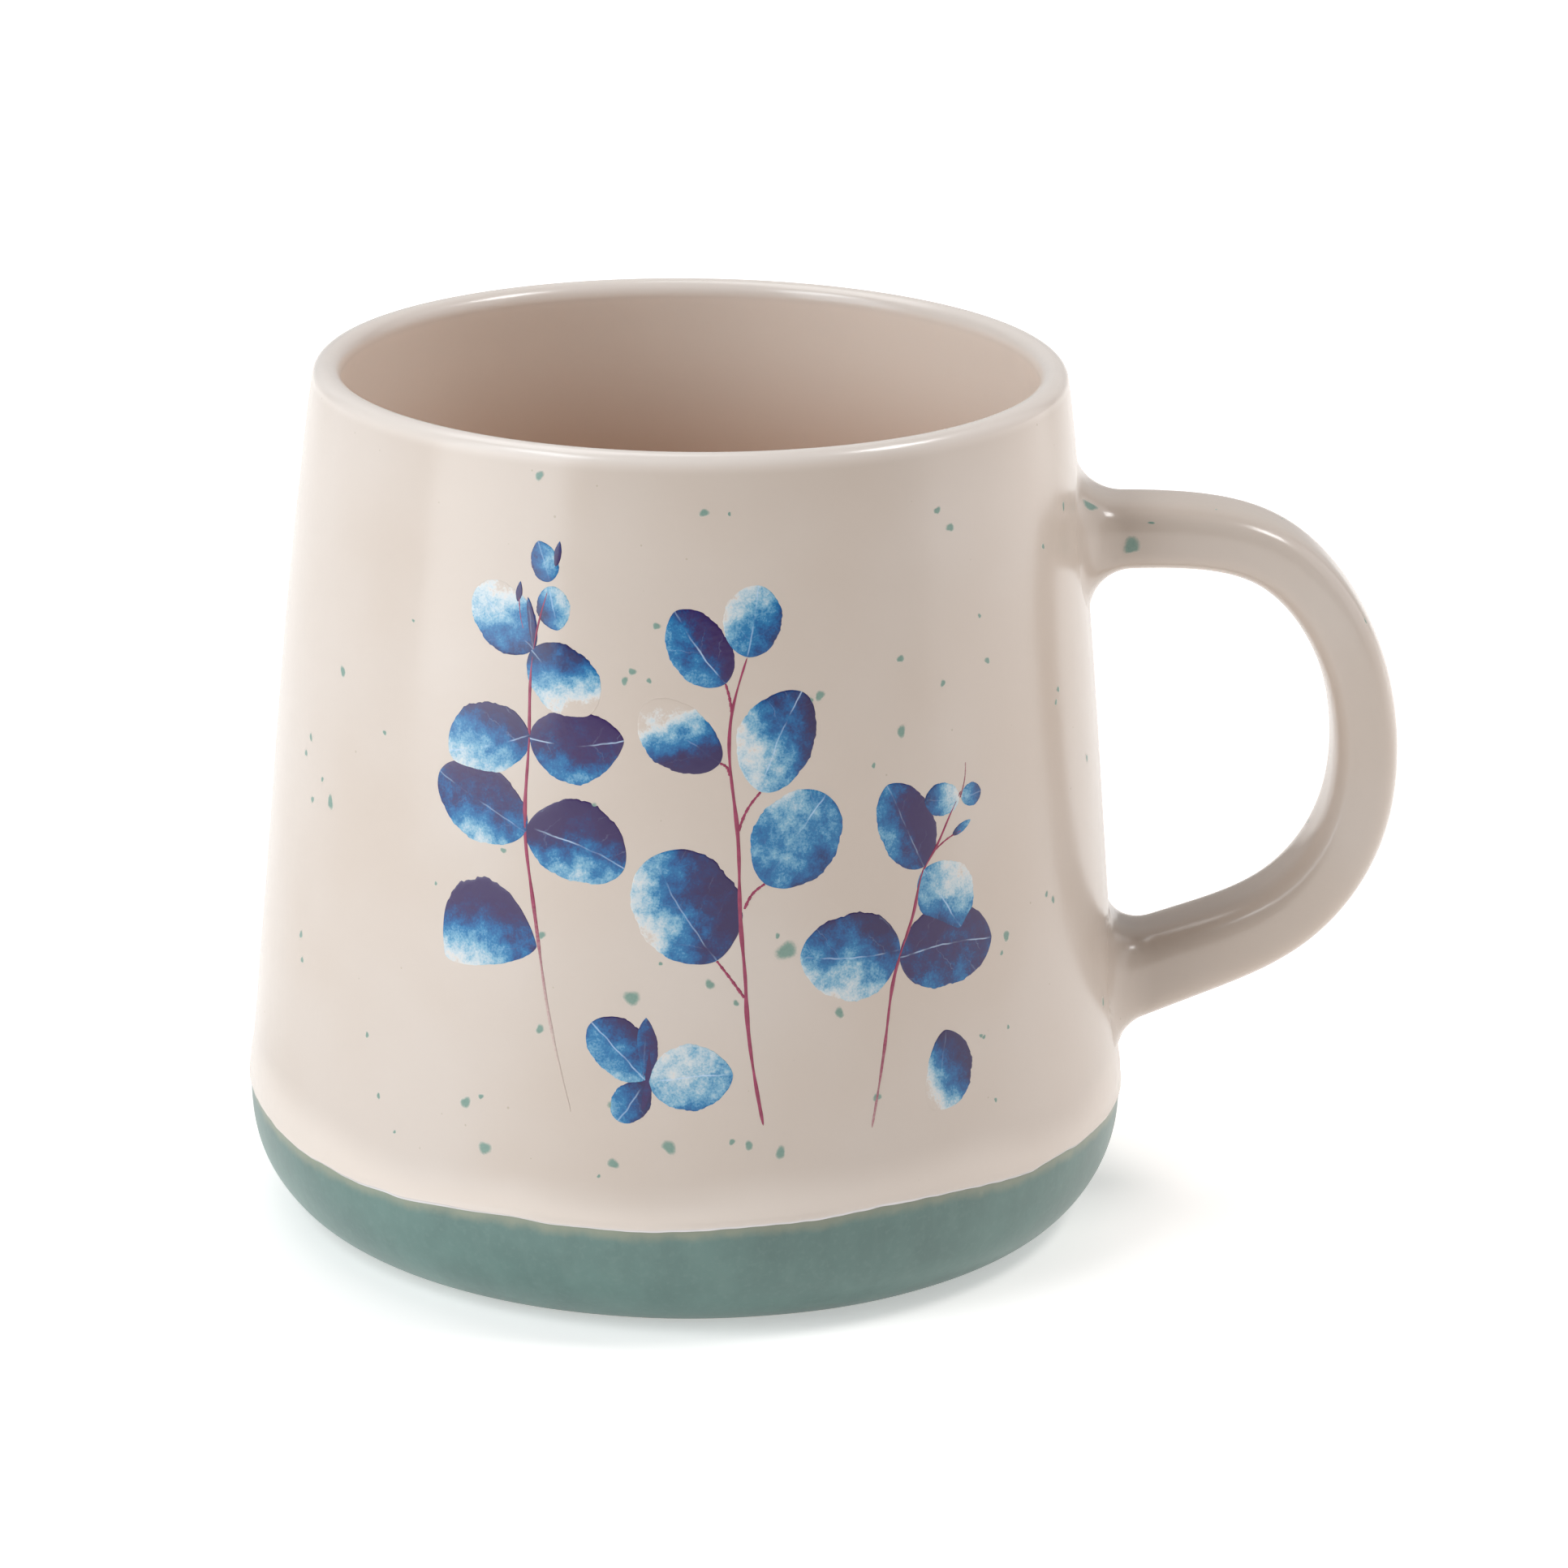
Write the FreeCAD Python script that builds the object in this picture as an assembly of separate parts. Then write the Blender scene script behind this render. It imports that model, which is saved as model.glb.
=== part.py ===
"""Stoneware mug with a dipped base, a strap handle and a fired botanical print.

Millimetres. +Z is up and the origin is the centre of the foot's resting plane. The handle points
along +X and the printed side faces -Y. Each solid is one layer or piece that the maker adds.
"""

import FreeCAD, Part
import math
import os

Vector = FreeCAD.Vector
ORIGIN = Vector(0, 0, 0)
UP = Vector(0, 0, 1)
ACROSS = Vector(0, 1, 0)

# Body
HEIGHT = 98.0
FOOT_RADIUS = 42.4
HEEL_FLAT = 1.9
BELLY_RADIUS = 50.5
BELLY_HEIGHT = 15.8
BELLY_LEAN = 0.116
RIM_RADIUS = 42.3
RIM_LEAN = 0.156
LIP_RADIUS = 1.6
FLOOR_HEIGHT = 7.0
FLOOR_RADIUS = 28.0
CORNER_HEIGHT = 22.0
CORNER_RADIUS = 45.4
CORNER_LEAN = 0.074
FOOT_RING_INNER = 36.5
RECESS_DEPTH = 2.0
RECESS_BEVEL = 1.8

# Coats
GLAZE = 0.4
GLAZE_STOP = 0.6
RECESS_GLAZE = 0.3
PRINT_THICKNESS = 0.1
SPECKLE_THICKNESS = 0.12

# Dip line: mean height, then (height, waves round the mug, phase in degrees) of each wave
DIP_HEIGHT = 13.7
DIP_WAVES = [(0.45, 1, -20), (0.25, 3, 40), (0.18, 7, 10), (0.12, 11, 80)]
DIP_POINTS = 72
DIP_INNER_RADIUS = 38.0
DIP_OUTER_RADIUS = 60.0

# Handle: centre line from the upper root to the lower root, as (x, z)
HANDLE_LINE = [
    (40.5, 78.4),
    (55.0, 78.9),
    (65.3, 76.7),
    (73.3, 68.4),
    (77.1, 55.0),
    (75.7, 43.8),
    (68.8, 34.1),
    (58.0, 28.7),
    (46.5, 24.4),
]
HANDLE_HALF_WIDTH = 6.1
HANDLE_HALF_THICKNESS = 3.5
UPPER_SWELL = 0.5
LOWER_SWELL = 1.4
SECTION_SQUARENESS = 2.8
SECTION_POINTS = 16
ROOT_FLARE = 5.0
FLARE_STEEPEST = 0.1
ROOT_STATIONS = [-3.0, 0.3, 1.0, 2.0, 3.4, 5.2]
SPAN_STATIONS = 11

# Fired print, laid out flat: distance round the wall from the middle of the front, and height
PRINT_RADIUS = 46.0
STEM_HALF_WIDTH = 0.25
TALL_LEFT_LEAVES = [
    ((-15.8, 83.9), (-17.6, 88.0), 1.3, 1.6),
    ((-15.2, 86.3), (-14.7, 88.4), 0.4, 0.4),
    ((-15.8, 83.4), (-14.6, 78.8), 1.9, 2.0),
    ((-19.5, 81.9), (-19.2, 83.7), 0.4, 0.4),
    ((-17.4, 76.5), (-24.7, 81.6), 3.4, 3.4),
    ((-17.4, 76.5), (-18.4, 82.0), 0.6, 0.6),
    ((-17.6, 76.4), (-10.3, 70.6), 3.6, 3.2),
    ((-17.4, 67.2), (-27.2, 64.2), 3.2, 4.8),
    ((-17.4, 66.9), (-6.9, 67.6), 3.7, 4.3),
    ((-17.5, 56.6), (-28.3, 61.2), 4.0, 3.8),
    ((-17.4, 57.2), (-6.6, 53.7), 5.0, 3.8),
    ((-15.8, 44.2), (-26.6, 41.5), 1.2, 8.4),
]
TALL_LEFT_STEM = [(-15.8, 83.5), (-17.6, 71.6), (-17.6, 56.6), (-15.6, 43.9), (-11.7, 26.1)]
TALL_CENTRE_LEAVES = [
    ((4.0, 73.8), (-1.6, 81.5), 3.2, 3.2),
    ((6.4, 76.6), (7.8, 84.2), 3.3, 3.1),
    ((3.4, 65.2), (-4.8, 71.3), 3.7, 3.2),
    ((7.8, 62.0), (12.6, 72.5), 4.3, 3.9),
    ((8.2, 51.9), (14.9, 61.2), 4.3, 4.9),
    ((3.1, 43.6), (-3.9, 54.5), 5.0, 6.0),
]
TALL_CENTRE_STEM = [(6.4, 76.6), (4.7, 70.6), (4.8, 62.0), (5.5, 52.0), (6.1, 41.2), (7.9, 25.1)]
CENTRE_TWIGS = [
    [(4.0, 73.8), (4.7, 70.6)],
    [(3.4, 65.2), (4.5, 63.8)],
    [(7.8, 62.0), (5.3, 57.5)],
    [(8.2, 51.9), (6.0, 49.2)],
    [(3.1, 43.6), (6.0, 39.4)],
]
SHORT_RIGHT_LEAVES = [
    ((26.4, 51.7), (22.3, 61.4), 3.2, 3.5),
    ((31.5, 58.4), (26.8, 58.7), 1.9, 1.8),
    ((31.8, 58.4), (34.6, 58.6), 1.2, 1.2),
    ((30.2, 54.4), (32.9, 55.6), 0.5, 0.5),
    ((26.4, 51.4), (30.7, 44.1), 4.2, 2.6),
    ((23.2, 43.0), (11.9, 43.5), 4.6, 5.0),
    ((23.1, 42.2), (35.4, 41.8), 4.5, 4.7),
]
SHORT_RIGHT_STEM = [(32.3, 61.6), (31.8, 58.6), (27.8, 53.2), (25.1, 47.3), (22.3, 39.7), (19.4, 23.6)]
SINGLE_LEAF = [((28.6, 32.8), (27.0, 24.3), 4.1, 1.6)]
CLUSTER_LEAVES = [
    ((-4.1, 30.3), (-9.7, 36.4), 2.9, 2.9),
    ((-3.9, 31.2), (-4.1, 37.2), 1.2, 1.3),
    ((-3.7, 30.1), (4.8, 31.0), 3.5, 3.6),
    ((-4.1, 30.3), (-6.6, 25.6), 1.8, 1.8),
]
CLUSTER_STEM = [(-3.9, 33.0), (-4.0, 30.0), (-4.4, 28.2)]

# Glaze speckles as (degrees round from the middle of the front, height, radius)
SPECKLES = [
    (-22, 95, 0.45), (2, 92, 0.45), (-10, 90, 0.35), (25, 88, 0.3), (40, 88, 0.45), (-68, 83, 0.4),
    (-36, 84, 0.35), (-14, 85, 0.3), (-56, 69, 0.45), (-57, 54, 0.6), (48, 76, 0.4), (31, 74, 0.3),
    (30, 67, 0.55), (18, 72, 0.5), (-4, 63, 0.35), (-64, 42, 0.3), (-11, 45, 0.4), (-69, 32, 0.3),
    (-39, 34, 0.4), (13, 44, 1.0), (-7, 39, 0.75), (3, 41, 0.45), (20, 37, 0.55), (47, 41, 0.55),
    (-19, 35, 0.45), (-29, 26, 0.55), (-26, 21, 0.65), (-9, 21, 0.55), (-2, 23, 0.75), (8, 23, 0.45),
    (12, 22, 0.55), (28, 19, 0.45), (73, 56, 0.4), (74, 27, 0.4), (110, 88, 0.5), (118, 60, 0.45),
    (128, 33, 0.6), (140, 74, 0.4), (152, 47, 0.7), (160, 25, 0.45), (168, 90, 0.4), (176, 62, 0.5),
    (186, 36, 0.55), (196, 80, 0.35), (206, 53, 0.6), (216, 27, 0.4), (226, 69, 0.5), (238, 43, 0.45),
    (250, 86, 0.45), (258, 22, 0.55), (266, 59, 0.4),
]


def edge(poles):
    """Bezier edge in the XZ plane through (radius, height) poles."""
    curve = Part.BezierCurve()
    curve.setPoles([Vector(r, 0, z) for r, z in poles])
    return curve.toShape()


def line(start, end):
    return Part.makeLine(Vector(start[0], 0, start[1]), Vector(end[0], 0, end[1]))


def lip_point(radius, degrees):
    """Point on the lip's round, whose centre stays put while coats change its radius."""
    lean = math.atan(RIM_LEAN)
    centre_r = RIM_RADIUS - LIP_RADIUS * math.cos(lean)
    centre_z = HEIGHT - LIP_RADIUS
    turn = math.radians(degrees)
    return centre_r + radius * math.cos(turn), centre_z + radius * math.sin(turn)


def lip_arc(radius, start, end):
    ends = [lip_point(radius, a) for a in (start, (start + end) / 2, end)]
    return Part.Arc(*[Vector(r, 0, z) for r, z in ends]).toShape()


def outside_poles(inset):
    """Poles of the heel and of the wall, moved towards the axis by inset."""
    lean = math.degrees(math.atan(RIM_LEAN))
    rim = lip_point(LIP_RADIUS - inset, lean)
    third = (rim[1] - BELLY_HEIGHT) / 3
    heel_rise = BELLY_HEIGHT * 0.755
    belly = (BELLY_RADIUS - inset, BELLY_HEIGHT)
    heel = [
        (FOOT_RADIUS - inset, 0),
        (FOOT_RADIUS + HEEL_FLAT - inset, 0),
        (belly[0] + BELLY_LEAN * heel_rise, BELLY_HEIGHT - heel_rise),
        belly,
    ]
    wall = [
        belly,
        (belly[0] - BELLY_LEAN * third, BELLY_HEIGHT + third),
        (rim[0] + RIM_LEAN * third, rim[1] - third),
        rim,
    ]
    return heel, wall


def outside_edges(inset):
    """Heel, wall and the outer half of the lip."""
    heel, wall = outside_poles(inset)
    lean = math.degrees(math.atan(RIM_LEAN))
    return [edge(heel), edge(wall), lip_arc(LIP_RADIUS - inset, lean, 90)]


def inside_edges(outset):
    """Inner half of the lip, inner wall, corner and floor, moved into the clay by outset."""
    lean = math.degrees(math.atan(RIM_LEAN))
    lip = LIP_RADIUS - outset
    rim = lip_point(lip, 180 + lean)
    corner = (CORNER_RADIUS + outset, CORNER_HEIGHT)
    floor = FLOOR_HEIGHT - outset
    third = (rim[1] - corner[1]) / 3
    wall = [
        rim,
        (rim[0] + RIM_LEAN * third, rim[1] - third),
        (corner[0] - CORNER_LEAN * third, corner[1] + third),
        corner,
    ]
    drop = (corner[1] - floor) * 0.8
    half_span = (CORNER_RADIUS - FLOOR_RADIUS) * 0.8
    round_corner = [
        corner,
        (corner[0] + CORNER_LEAN * drop, corner[1] - drop),
        (FLOOR_RADIUS + half_span, floor),
        (FLOOR_RADIUS, floor),
    ]
    return [
        lip_arc(lip, 90, 180 + lean),
        edge(wall),
        edge(round_corner),
        line((FLOOR_RADIUS, floor), (0, floor)),
    ]


def wall_radius(height):
    """Finished wall radius; the wall's poles are evenly spaced in height, so this is a cubic."""
    _, wall = outside_poles(0)
    t = (height - wall[0][1]) / (wall[3][1] - wall[0][1])
    weights = [(1 - t) ** 3, 3 * t * (1 - t) ** 2, 3 * t * t * (1 - t), t**3]
    return sum(w * pole[0] for w, pole in zip(weights, wall))


def turned(edges):
    """Solid turned on the wheel from a closed half section."""
    wire = Part.Wire(Part.__sortEdges__(edges))
    return Part.Face(wire).revolve(ORIGIN, UP, 360)


def outside_coat(inner_inset, outer_inset):
    """Coat on the outside, from the foot to the crest of the lip, between two insets."""
    crest_in = lip_point(LIP_RADIUS - inner_inset, 90)
    crest_out = lip_point(LIP_RADIUS - outer_inset, 90)
    ends = [
        line(crest_in, crest_out),
        line((FOOT_RADIUS - inner_inset, 0), (FOOT_RADIUS - outer_inset, 0)),
    ]
    return turned(outside_edges(inner_inset) + outside_edges(outer_inset) + ends)


def inside_coat():
    """Cream coat from the crest of the lip down the inner wall and over the floor."""
    crest_in = lip_point(LIP_RADIUS - GLAZE, 90)
    crest_out = lip_point(LIP_RADIUS, 90)
    ends = [line(crest_in, crest_out), line((0, FLOOR_HEIGHT - GLAZE), (0, FLOOR_HEIGHT))]
    return turned(inside_edges(GLAZE) + inside_edges(0) + ends)


def filled_body(inset):
    """The body's outer shape with no hollow, used to trim what joins the wall."""
    crest = lip_point(LIP_RADIUS - inset, 90)
    closing = [
        line(crest, (0, crest[1])),
        line((0, crest[1]), (0, 0)),
        line((0, 0), (FOOT_RADIUS - inset, 0)),
    ]
    return turned(outside_edges(inset) + closing)


def clay_body():
    """Jiggered wall and floor on a foot ring with a shallow recess inside it."""
    floor = FLOOR_HEIGHT - GLAZE
    under = [
        line((0, floor), (0, RECESS_DEPTH)),
        line((0, RECESS_DEPTH), (FOOT_RING_INNER - RECESS_BEVEL, RECESS_DEPTH)),
        line((FOOT_RING_INNER - RECESS_BEVEL, RECESS_DEPTH), (FOOT_RING_INNER, 0)),
        line((FOOT_RING_INNER, 0), (FOOT_RADIUS - GLAZE, 0)),
    ]
    return turned(outside_edges(GLAZE) + inside_edges(GLAZE) + under)


def foot_recess_glaze():
    """Thin pool of base glaze left inside the wiped foot ring."""
    radius = FOOT_RING_INNER - RECESS_BEVEL - 0.5
    return Part.makeCylinder(radius, RECESS_GLAZE, Vector(0, 0, RECESS_DEPTH - RECESS_GLAZE), UP)


def dip_height(turn):
    """Height of the dip line at an angle in radians: a mean plus a few waves."""
    waves = [a * math.sin(n * turn + math.radians(phase)) for a, n, phase in DIP_WAVES]
    return DIP_HEIGHT + sum(waves)


def dip_ring(radius):
    """Closed smooth curve round the axis that rises and falls with the dip line."""
    turns = [2 * math.pi * k / DIP_POINTS for k in range(DIP_POINTS)]
    points = [Vector(radius * math.cos(t), radius * math.sin(t), dip_height(t)) for t in turns]
    curve = Part.BSplineCurve()
    curve.interpolate(points, PeriodicFlag=True)
    return curve.toShape()


def dipped_zone():
    """Everything between the foot and the dip line, as a ring-shaped solid."""
    top = Part.makeRuledSurface(dip_ring(DIP_INNER_RADIUS), dip_ring(DIP_OUTER_RADIUS))
    return top.extrude(Vector(0, 0, -3 * DIP_HEIGHT))


def handle_curve():
    curve = Part.BSplineCurve()
    curve.interpolate([Vector(x, 0, z) for x, z in HANDLE_LINE])
    return curve


def wall_crossing(handle, steps=400):
    """Distances along the handle's line where it leaves the wall and meets it again."""
    outside = []
    for k in range(1, steps):
        distance = handle.Length * k / steps
        point = handle.valueAt(handle.getParameterByLength(distance))
        if point.x > wall_radius(point.z):
            outside.append(distance)
    return outside[0], outside[-1]


def flare(gap):
    """Extra size of the section near the wall: a quarter round of radius ROOT_FLARE."""
    rise = min(max(gap / ROOT_FLARE, FLARE_STEEPEST), 1.0)
    return ROOT_FLARE * (1 - math.sqrt(1 - (1 - rise) ** 2))


def handle_section(handle, distance, half_thickness, half_width):
    """Rounded rectangle (a superellipse) square to the handle's line."""
    parameter = handle.getParameterByLength(distance)
    centre = handle.valueAt(parameter)
    normal = handle.tangentAt(parameter).cross(ACROSS)
    power = 2 / SECTION_SQUARENESS
    points = []
    for k in range(SECTION_POINTS):
        turn = 2 * math.pi * (k + 0.5) / SECTION_POINTS
        c, s = math.cos(turn), math.sin(turn)
        out = half_thickness * math.copysign(abs(c) ** power, c)
        side = half_width * math.copysign(abs(s) ** power, s)
        points.append(centre + normal * out + ACROSS * side)
    curve = Part.BSplineCurve()
    curve.interpolate(points, PeriodicFlag=True)
    return Part.Wire([curve.toShape()])


def handle_blank(inset):
    """Strap swept from inside the wall to inside the wall, swelling and flaring at its roots."""
    handle = handle_curve().toShape()
    first, last = wall_crossing(handle)
    span = last - first
    inner = [first + ROOT_FLARE + 1 + (span - 2 * ROOT_FLARE - 2) * k / SPAN_STATIONS
             for k in range(1, SPAN_STATIONS)]
    stations = [first + gap for gap in ROOT_STATIONS]
    stations += inner
    stations += [last - gap for gap in reversed(ROOT_STATIONS)]
    sections = []
    for distance in stations:
        t = min(max((distance - first) / span, 0), 1)
        extra = flare(min(distance - first, last - distance)) - inset
        thick = HANDLE_HALF_THICKNESS + UPPER_SWELL * (1 - t) ** 6 + LOWER_SWELL * t**3
        sections.append(handle_section(handle, distance, thick + extra, HANDLE_HALF_WIDTH + extra))
    return Part.makeLoft(sections, True, False)


def on_front(point):
    """Place of a flat print point on the front, seen along +Y."""
    along, height = point
    return Vector(wall_radius(height) * math.sin(along / PRINT_RADIUS), -2 * BELLY_RADIUS, height)


def leaf_face(base, tip, left, right):
    """Leaf of two arcs from its base to its tip; left and right are how far each arc bows out."""
    start, end = on_front(base), on_front(tip)
    middle = (start + end) * 0.5
    side = (end - start).cross(ACROSS).normalize()
    upper = Part.Arc(start, middle + side * left * -1, end).toShape()
    lower = Part.Arc(end, middle + side * right, start).toShape()
    return Part.Face(Part.Wire([upper, lower]))


def stem_face(points):
    """Narrow strip along a smooth line through a few points."""
    middle = Part.BSplineCurve()
    middle.interpolate([on_front(p) for p in points])
    rim = []
    for sign in (-1, 1):
        offset = []
        for k in range(2 * len(points) + 1):
            u = middle.FirstParameter + (middle.LastParameter - middle.FirstParameter) * k / (2 * len(points))
            normal = middle.tangent(u)[0].cross(ACROSS).normalize()
            offset.append(middle.value(u) + normal * sign * STEM_HALF_WIDTH)
        rim.append(offset)
    sides = []
    for offset in rim:
        curve = Part.BSplineCurve()
        curve.interpolate(offset)
        sides.append(curve.toShape())
    caps = [Part.makeLine(rim[0][k], rim[1][k]) for k in (0, -1)]
    return Part.Face(Part.Wire(Part.__sortEdges__(sides + caps)))


def fired_print(leaves, stems, film):
    """Leaves and stems of one motif, as a thin film on the glaze."""
    faces = [leaf_face(*leaf) for leaf in leaves] + [stem_face(points) for points in stems]
    prisms = [face.extrude(Vector(0, 2 * BELLY_RADIUS, 0)) for face in faces]
    pieces = prisms[0].multiFuse(prisms[1:]) if len(prisms) > 1 else prisms[0]
    return film.common(pieces)


def speckles():
    """Flat specks of melted oxide on the finished wall, facing straight out."""
    specks = []
    for degrees, height, radius in SPECKLES:
        turn = math.radians(degrees - 90)
        lean = (wall_radius(height - 1) - wall_radius(height + 1)) / 2
        out = Vector(math.cos(turn), math.sin(turn), lean).normalize()
        wall = wall_radius(height)
        base = Vector(wall * math.cos(turn), wall * math.sin(turn), height)
        specks.append(Part.makeCylinder(radius, SPECKLE_THICKNESS, base, out))
    return Part.makeCompound(specks)


def build():
    """Every node of the mug by name."""
    coat = outside_coat(GLAZE, 0)
    below_stop = Part.makeBox(200, 200, GLAZE_STOP, Vector(-100, -100, 0))
    coat = coat.cut(below_stop)
    dipped = dipped_zone()
    blank = handle_blank(GLAZE)
    glazed_blank = handle_blank(0)
    finished = filled_body(0)
    root_ring = outside_coat(GLAZE, 0)
    film = outside_coat(0, -PRINT_THICKNESS)
    slip = root_ring.common(blank)
    upper_slip, lower_slip = sorted(slip.Solids, key=lambda pad: -pad.CenterOfMass.z)
    return {
        "clay_body": clay_body(),
        "clay_handle": blank.cut(finished),
        "upper_handle_slip": upper_slip,
        "lower_handle_slip": lower_slip,
        "cream_glaze_outside": coat.cut(dipped).cut(blank),
        "cream_glaze_inside": inside_coat(),
        "cream_glaze_handle": glazed_blank.cut(blank).cut(finished),
        "teal_glaze_base": coat.common(dipped),
        "foot_recess_glaze": foot_recess_glaze(),
        "teal_speckles": speckles(),
        "tall_left_sprig": fired_print(TALL_LEFT_LEAVES, [TALL_LEFT_STEM], film),
        "tall_centre_sprig": fired_print(TALL_CENTRE_LEAVES, [TALL_CENTRE_STEM] + CENTRE_TWIGS, film),
        "short_right_sprig": fired_print(SHORT_RIGHT_LEAVES, [SHORT_RIGHT_STEM], film),
        "fallen_leaf_cluster": fired_print(CLUSTER_LEAVES, [CLUSTER_STEM], film),
        "single_fallen_leaf": fired_print(SINGLE_LEAF, [], film),
    }


def main():
    os.makedirs("parts", exist_ok=True)
    for name, shape in build().items():
        box = shape.BoundBox
        print(f"{name}: {len(shape.Solids)} solids, {shape.Volume:.1f} mm3, valid {shape.isValid()}, "
              f"x {box.XMin:.1f}..{box.XMax:.1f} z {box.ZMin:.1f}..{box.ZMax:.1f}")
        shape.exportStep(f"parts/{name}.step")


main()
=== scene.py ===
"""Stoneware mug: a turned body dipped in teal, coated in speckled cream and printed with blue sprigs.

Metres, in the part's own frame: +Z up, the foot's centre at the origin, the handle along +X and the
print facing -Y. Shapes are worked out in millimetres and turned into metres when a mesh is made.
A "turn" is an angle round the mug in radians, from the middle of the front towards the handle.
"""

import math

import bpy
import numpy as np
from mathutils import Matrix, Vector


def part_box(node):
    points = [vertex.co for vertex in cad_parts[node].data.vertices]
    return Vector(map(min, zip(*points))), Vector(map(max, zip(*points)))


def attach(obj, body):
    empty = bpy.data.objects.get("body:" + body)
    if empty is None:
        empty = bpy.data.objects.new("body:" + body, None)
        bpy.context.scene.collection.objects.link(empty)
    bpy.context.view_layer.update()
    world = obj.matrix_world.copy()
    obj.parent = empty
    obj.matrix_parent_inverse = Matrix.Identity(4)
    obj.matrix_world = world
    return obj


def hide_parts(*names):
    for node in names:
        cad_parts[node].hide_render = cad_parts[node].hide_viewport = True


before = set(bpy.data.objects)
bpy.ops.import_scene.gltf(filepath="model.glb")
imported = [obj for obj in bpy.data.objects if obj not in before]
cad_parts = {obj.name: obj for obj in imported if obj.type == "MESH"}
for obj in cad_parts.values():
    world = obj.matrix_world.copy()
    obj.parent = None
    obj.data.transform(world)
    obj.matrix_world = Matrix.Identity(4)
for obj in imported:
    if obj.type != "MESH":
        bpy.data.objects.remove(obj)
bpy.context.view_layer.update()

MM = 0.001
TAU = 2 * math.pi

# Body, as in the part; its height and its floor are read from the frame
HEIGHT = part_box("cream_glaze_outside")[1].z / MM
GLAZE = 0.4
FLOOR_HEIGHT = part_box("cream_glaze_inside")[0].z / MM + GLAZE
FOOT_RADIUS = 42.4
HEEL_FLAT = 1.9
BELLY_RADIUS = 50.5
BELLY_HEIGHT = 15.8
BELLY_LEAN = 0.116
RIM_RADIUS = 42.3
RIM_LEAN = 0.156
LIP_RADIUS = 1.6
FLOOR_RADIUS = 28.0
CORNER_HEIGHT = 22.0
CORNER_RADIUS = 45.4
CORNER_LEAN = 0.074
HEEL_RISE_SHARE = 0.755
CORNER_FULLNESS = 0.8
FOOT_RING_INNER = 36.5
RECESS_DEPTH = 2.0
RECESS_BEVEL = 1.8

# Coats
COLUMNS = 720
CREAM_INSET = 0.12
TEAL_INSET = 0.46
THIN_AT_DIP = 0.2
COAT_BACK = 0.6
WALL_UNEVENNESS = 0.07
TEAL_UNDERLAP = 1.1

# Edge of the cream, by distance above the dip line: a nose, a bead and a broad roll
NOSE_HEIGHT = 0.4
BEAD_HEIGHT = 0.1
BEAD_AT = 0.45
BEAD_REACH = 0.4
ROLL_HEIGHT = 0.14
ROLL_AT = 2.2
ROLL_REACH = 1.9

# Dip line: mean height, then (height, waves round the mug, phase in degrees) of each wave
DIP_HEIGHT = 13.55
DIP_WAVES = [(0.3, 1, 0), (0.5, 3, 6), (0.25, 7, -90), (0.1, 13, 40)]

# Handle: centre line (x, z), then the strap's section
HANDLE_LINE = [
    (40.5, 78.4), (55.0, 78.9), (65.3, 76.7), (73.3, 68.4), (77.1, 55.0),
    (75.7, 43.8), (68.8, 34.1), (58.0, 28.7), (46.5, 24.4),
]
STRAP_HALF_WIDTH = 6.1
STRAP_HALF_THICKNESS = 3.5
UPPER_SWELL = 0.5
LOWER_SWELL = 1.4
SQUARENESS = 3.4
ROOT_FILLET = 5.0
ROOT_LEAN = 0.1
UNDERSIDE_TIGHTER = 2.2
ROOT_SINK = 0.06
SLIP_INSET = 0.55
STRAP_MEAN_RADIUS = 5.0

# Print: flat design, wrapped round the wall at this radius
PRINT_RADIUS = 46.0
FILM = 0.05
FILM_BACK = 0.2
FILM_BED = 0.012

# Camera
CAMERA_DISTANCE = 694.4
CAMERA_ELEVATION = math.radians(17.67)
CAMERA_ROLL = math.radians(0.72)
LENS = 139.4
MIDDLE = (0.0, 0.0, 49.0)
AIM = (11.0, -0.2, 48.4)


# ---------------------------------------------------------------- curves and fields

def bezier(poles, count):
    """Cubic curve: the four poles weighted by the Bernstein terms of t from 0 to 1."""
    p = np.array(poles, float)
    t = np.linspace(0, 1, count)[:, None]
    return (1 - t) ** 3 * p[0] + 3 * t * (1 - t) ** 2 * p[1] + 3 * t**2 * (1 - t) * p[2] + t**3 * p[3]


def smoothstep(low, high, x):
    """0 below low, 1 above high, and 3t^2 - 2t^3 between."""
    t = np.clip((x - low) / (high - low), 0, 1)
    return t * t * (3 - 2 * t)


def smooth_line(points, count):
    """Natural cubic spline through points, spaced by chord length, sampled at count even steps."""
    p = np.array(points, float)
    knots = np.concatenate([[0], np.cumsum(np.linalg.norm(np.diff(p, axis=0), axis=1))])
    gap = np.diff(knots)
    inner = np.arange(1, len(p) - 1)
    system = np.eye(len(p))
    system[inner, inner - 1] = gap[:-1]
    system[inner, inner] = 2 * (gap[:-1] + gap[1:])
    system[inner, inner + 1] = gap[1:]
    change = np.zeros_like(p)
    change[1:-1] = 6 * np.diff(np.diff(p, axis=0) / gap[:, None], axis=0)
    second = np.linalg.solve(system, change)
    s = np.linspace(0, knots[-1], count)
    k = np.clip(np.searchsorted(knots, s, side="right") - 1, 0, len(p) - 2)
    h = gap[k][:, None]
    a = (knots[k + 1] - s)[:, None] / h
    b = 1 - a
    bend = ((a**3 - a) * second[k] + (b**3 - b) * second[k + 1]) * h**2 / 6
    return a * p[k] + b * p[k + 1] + bend


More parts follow.
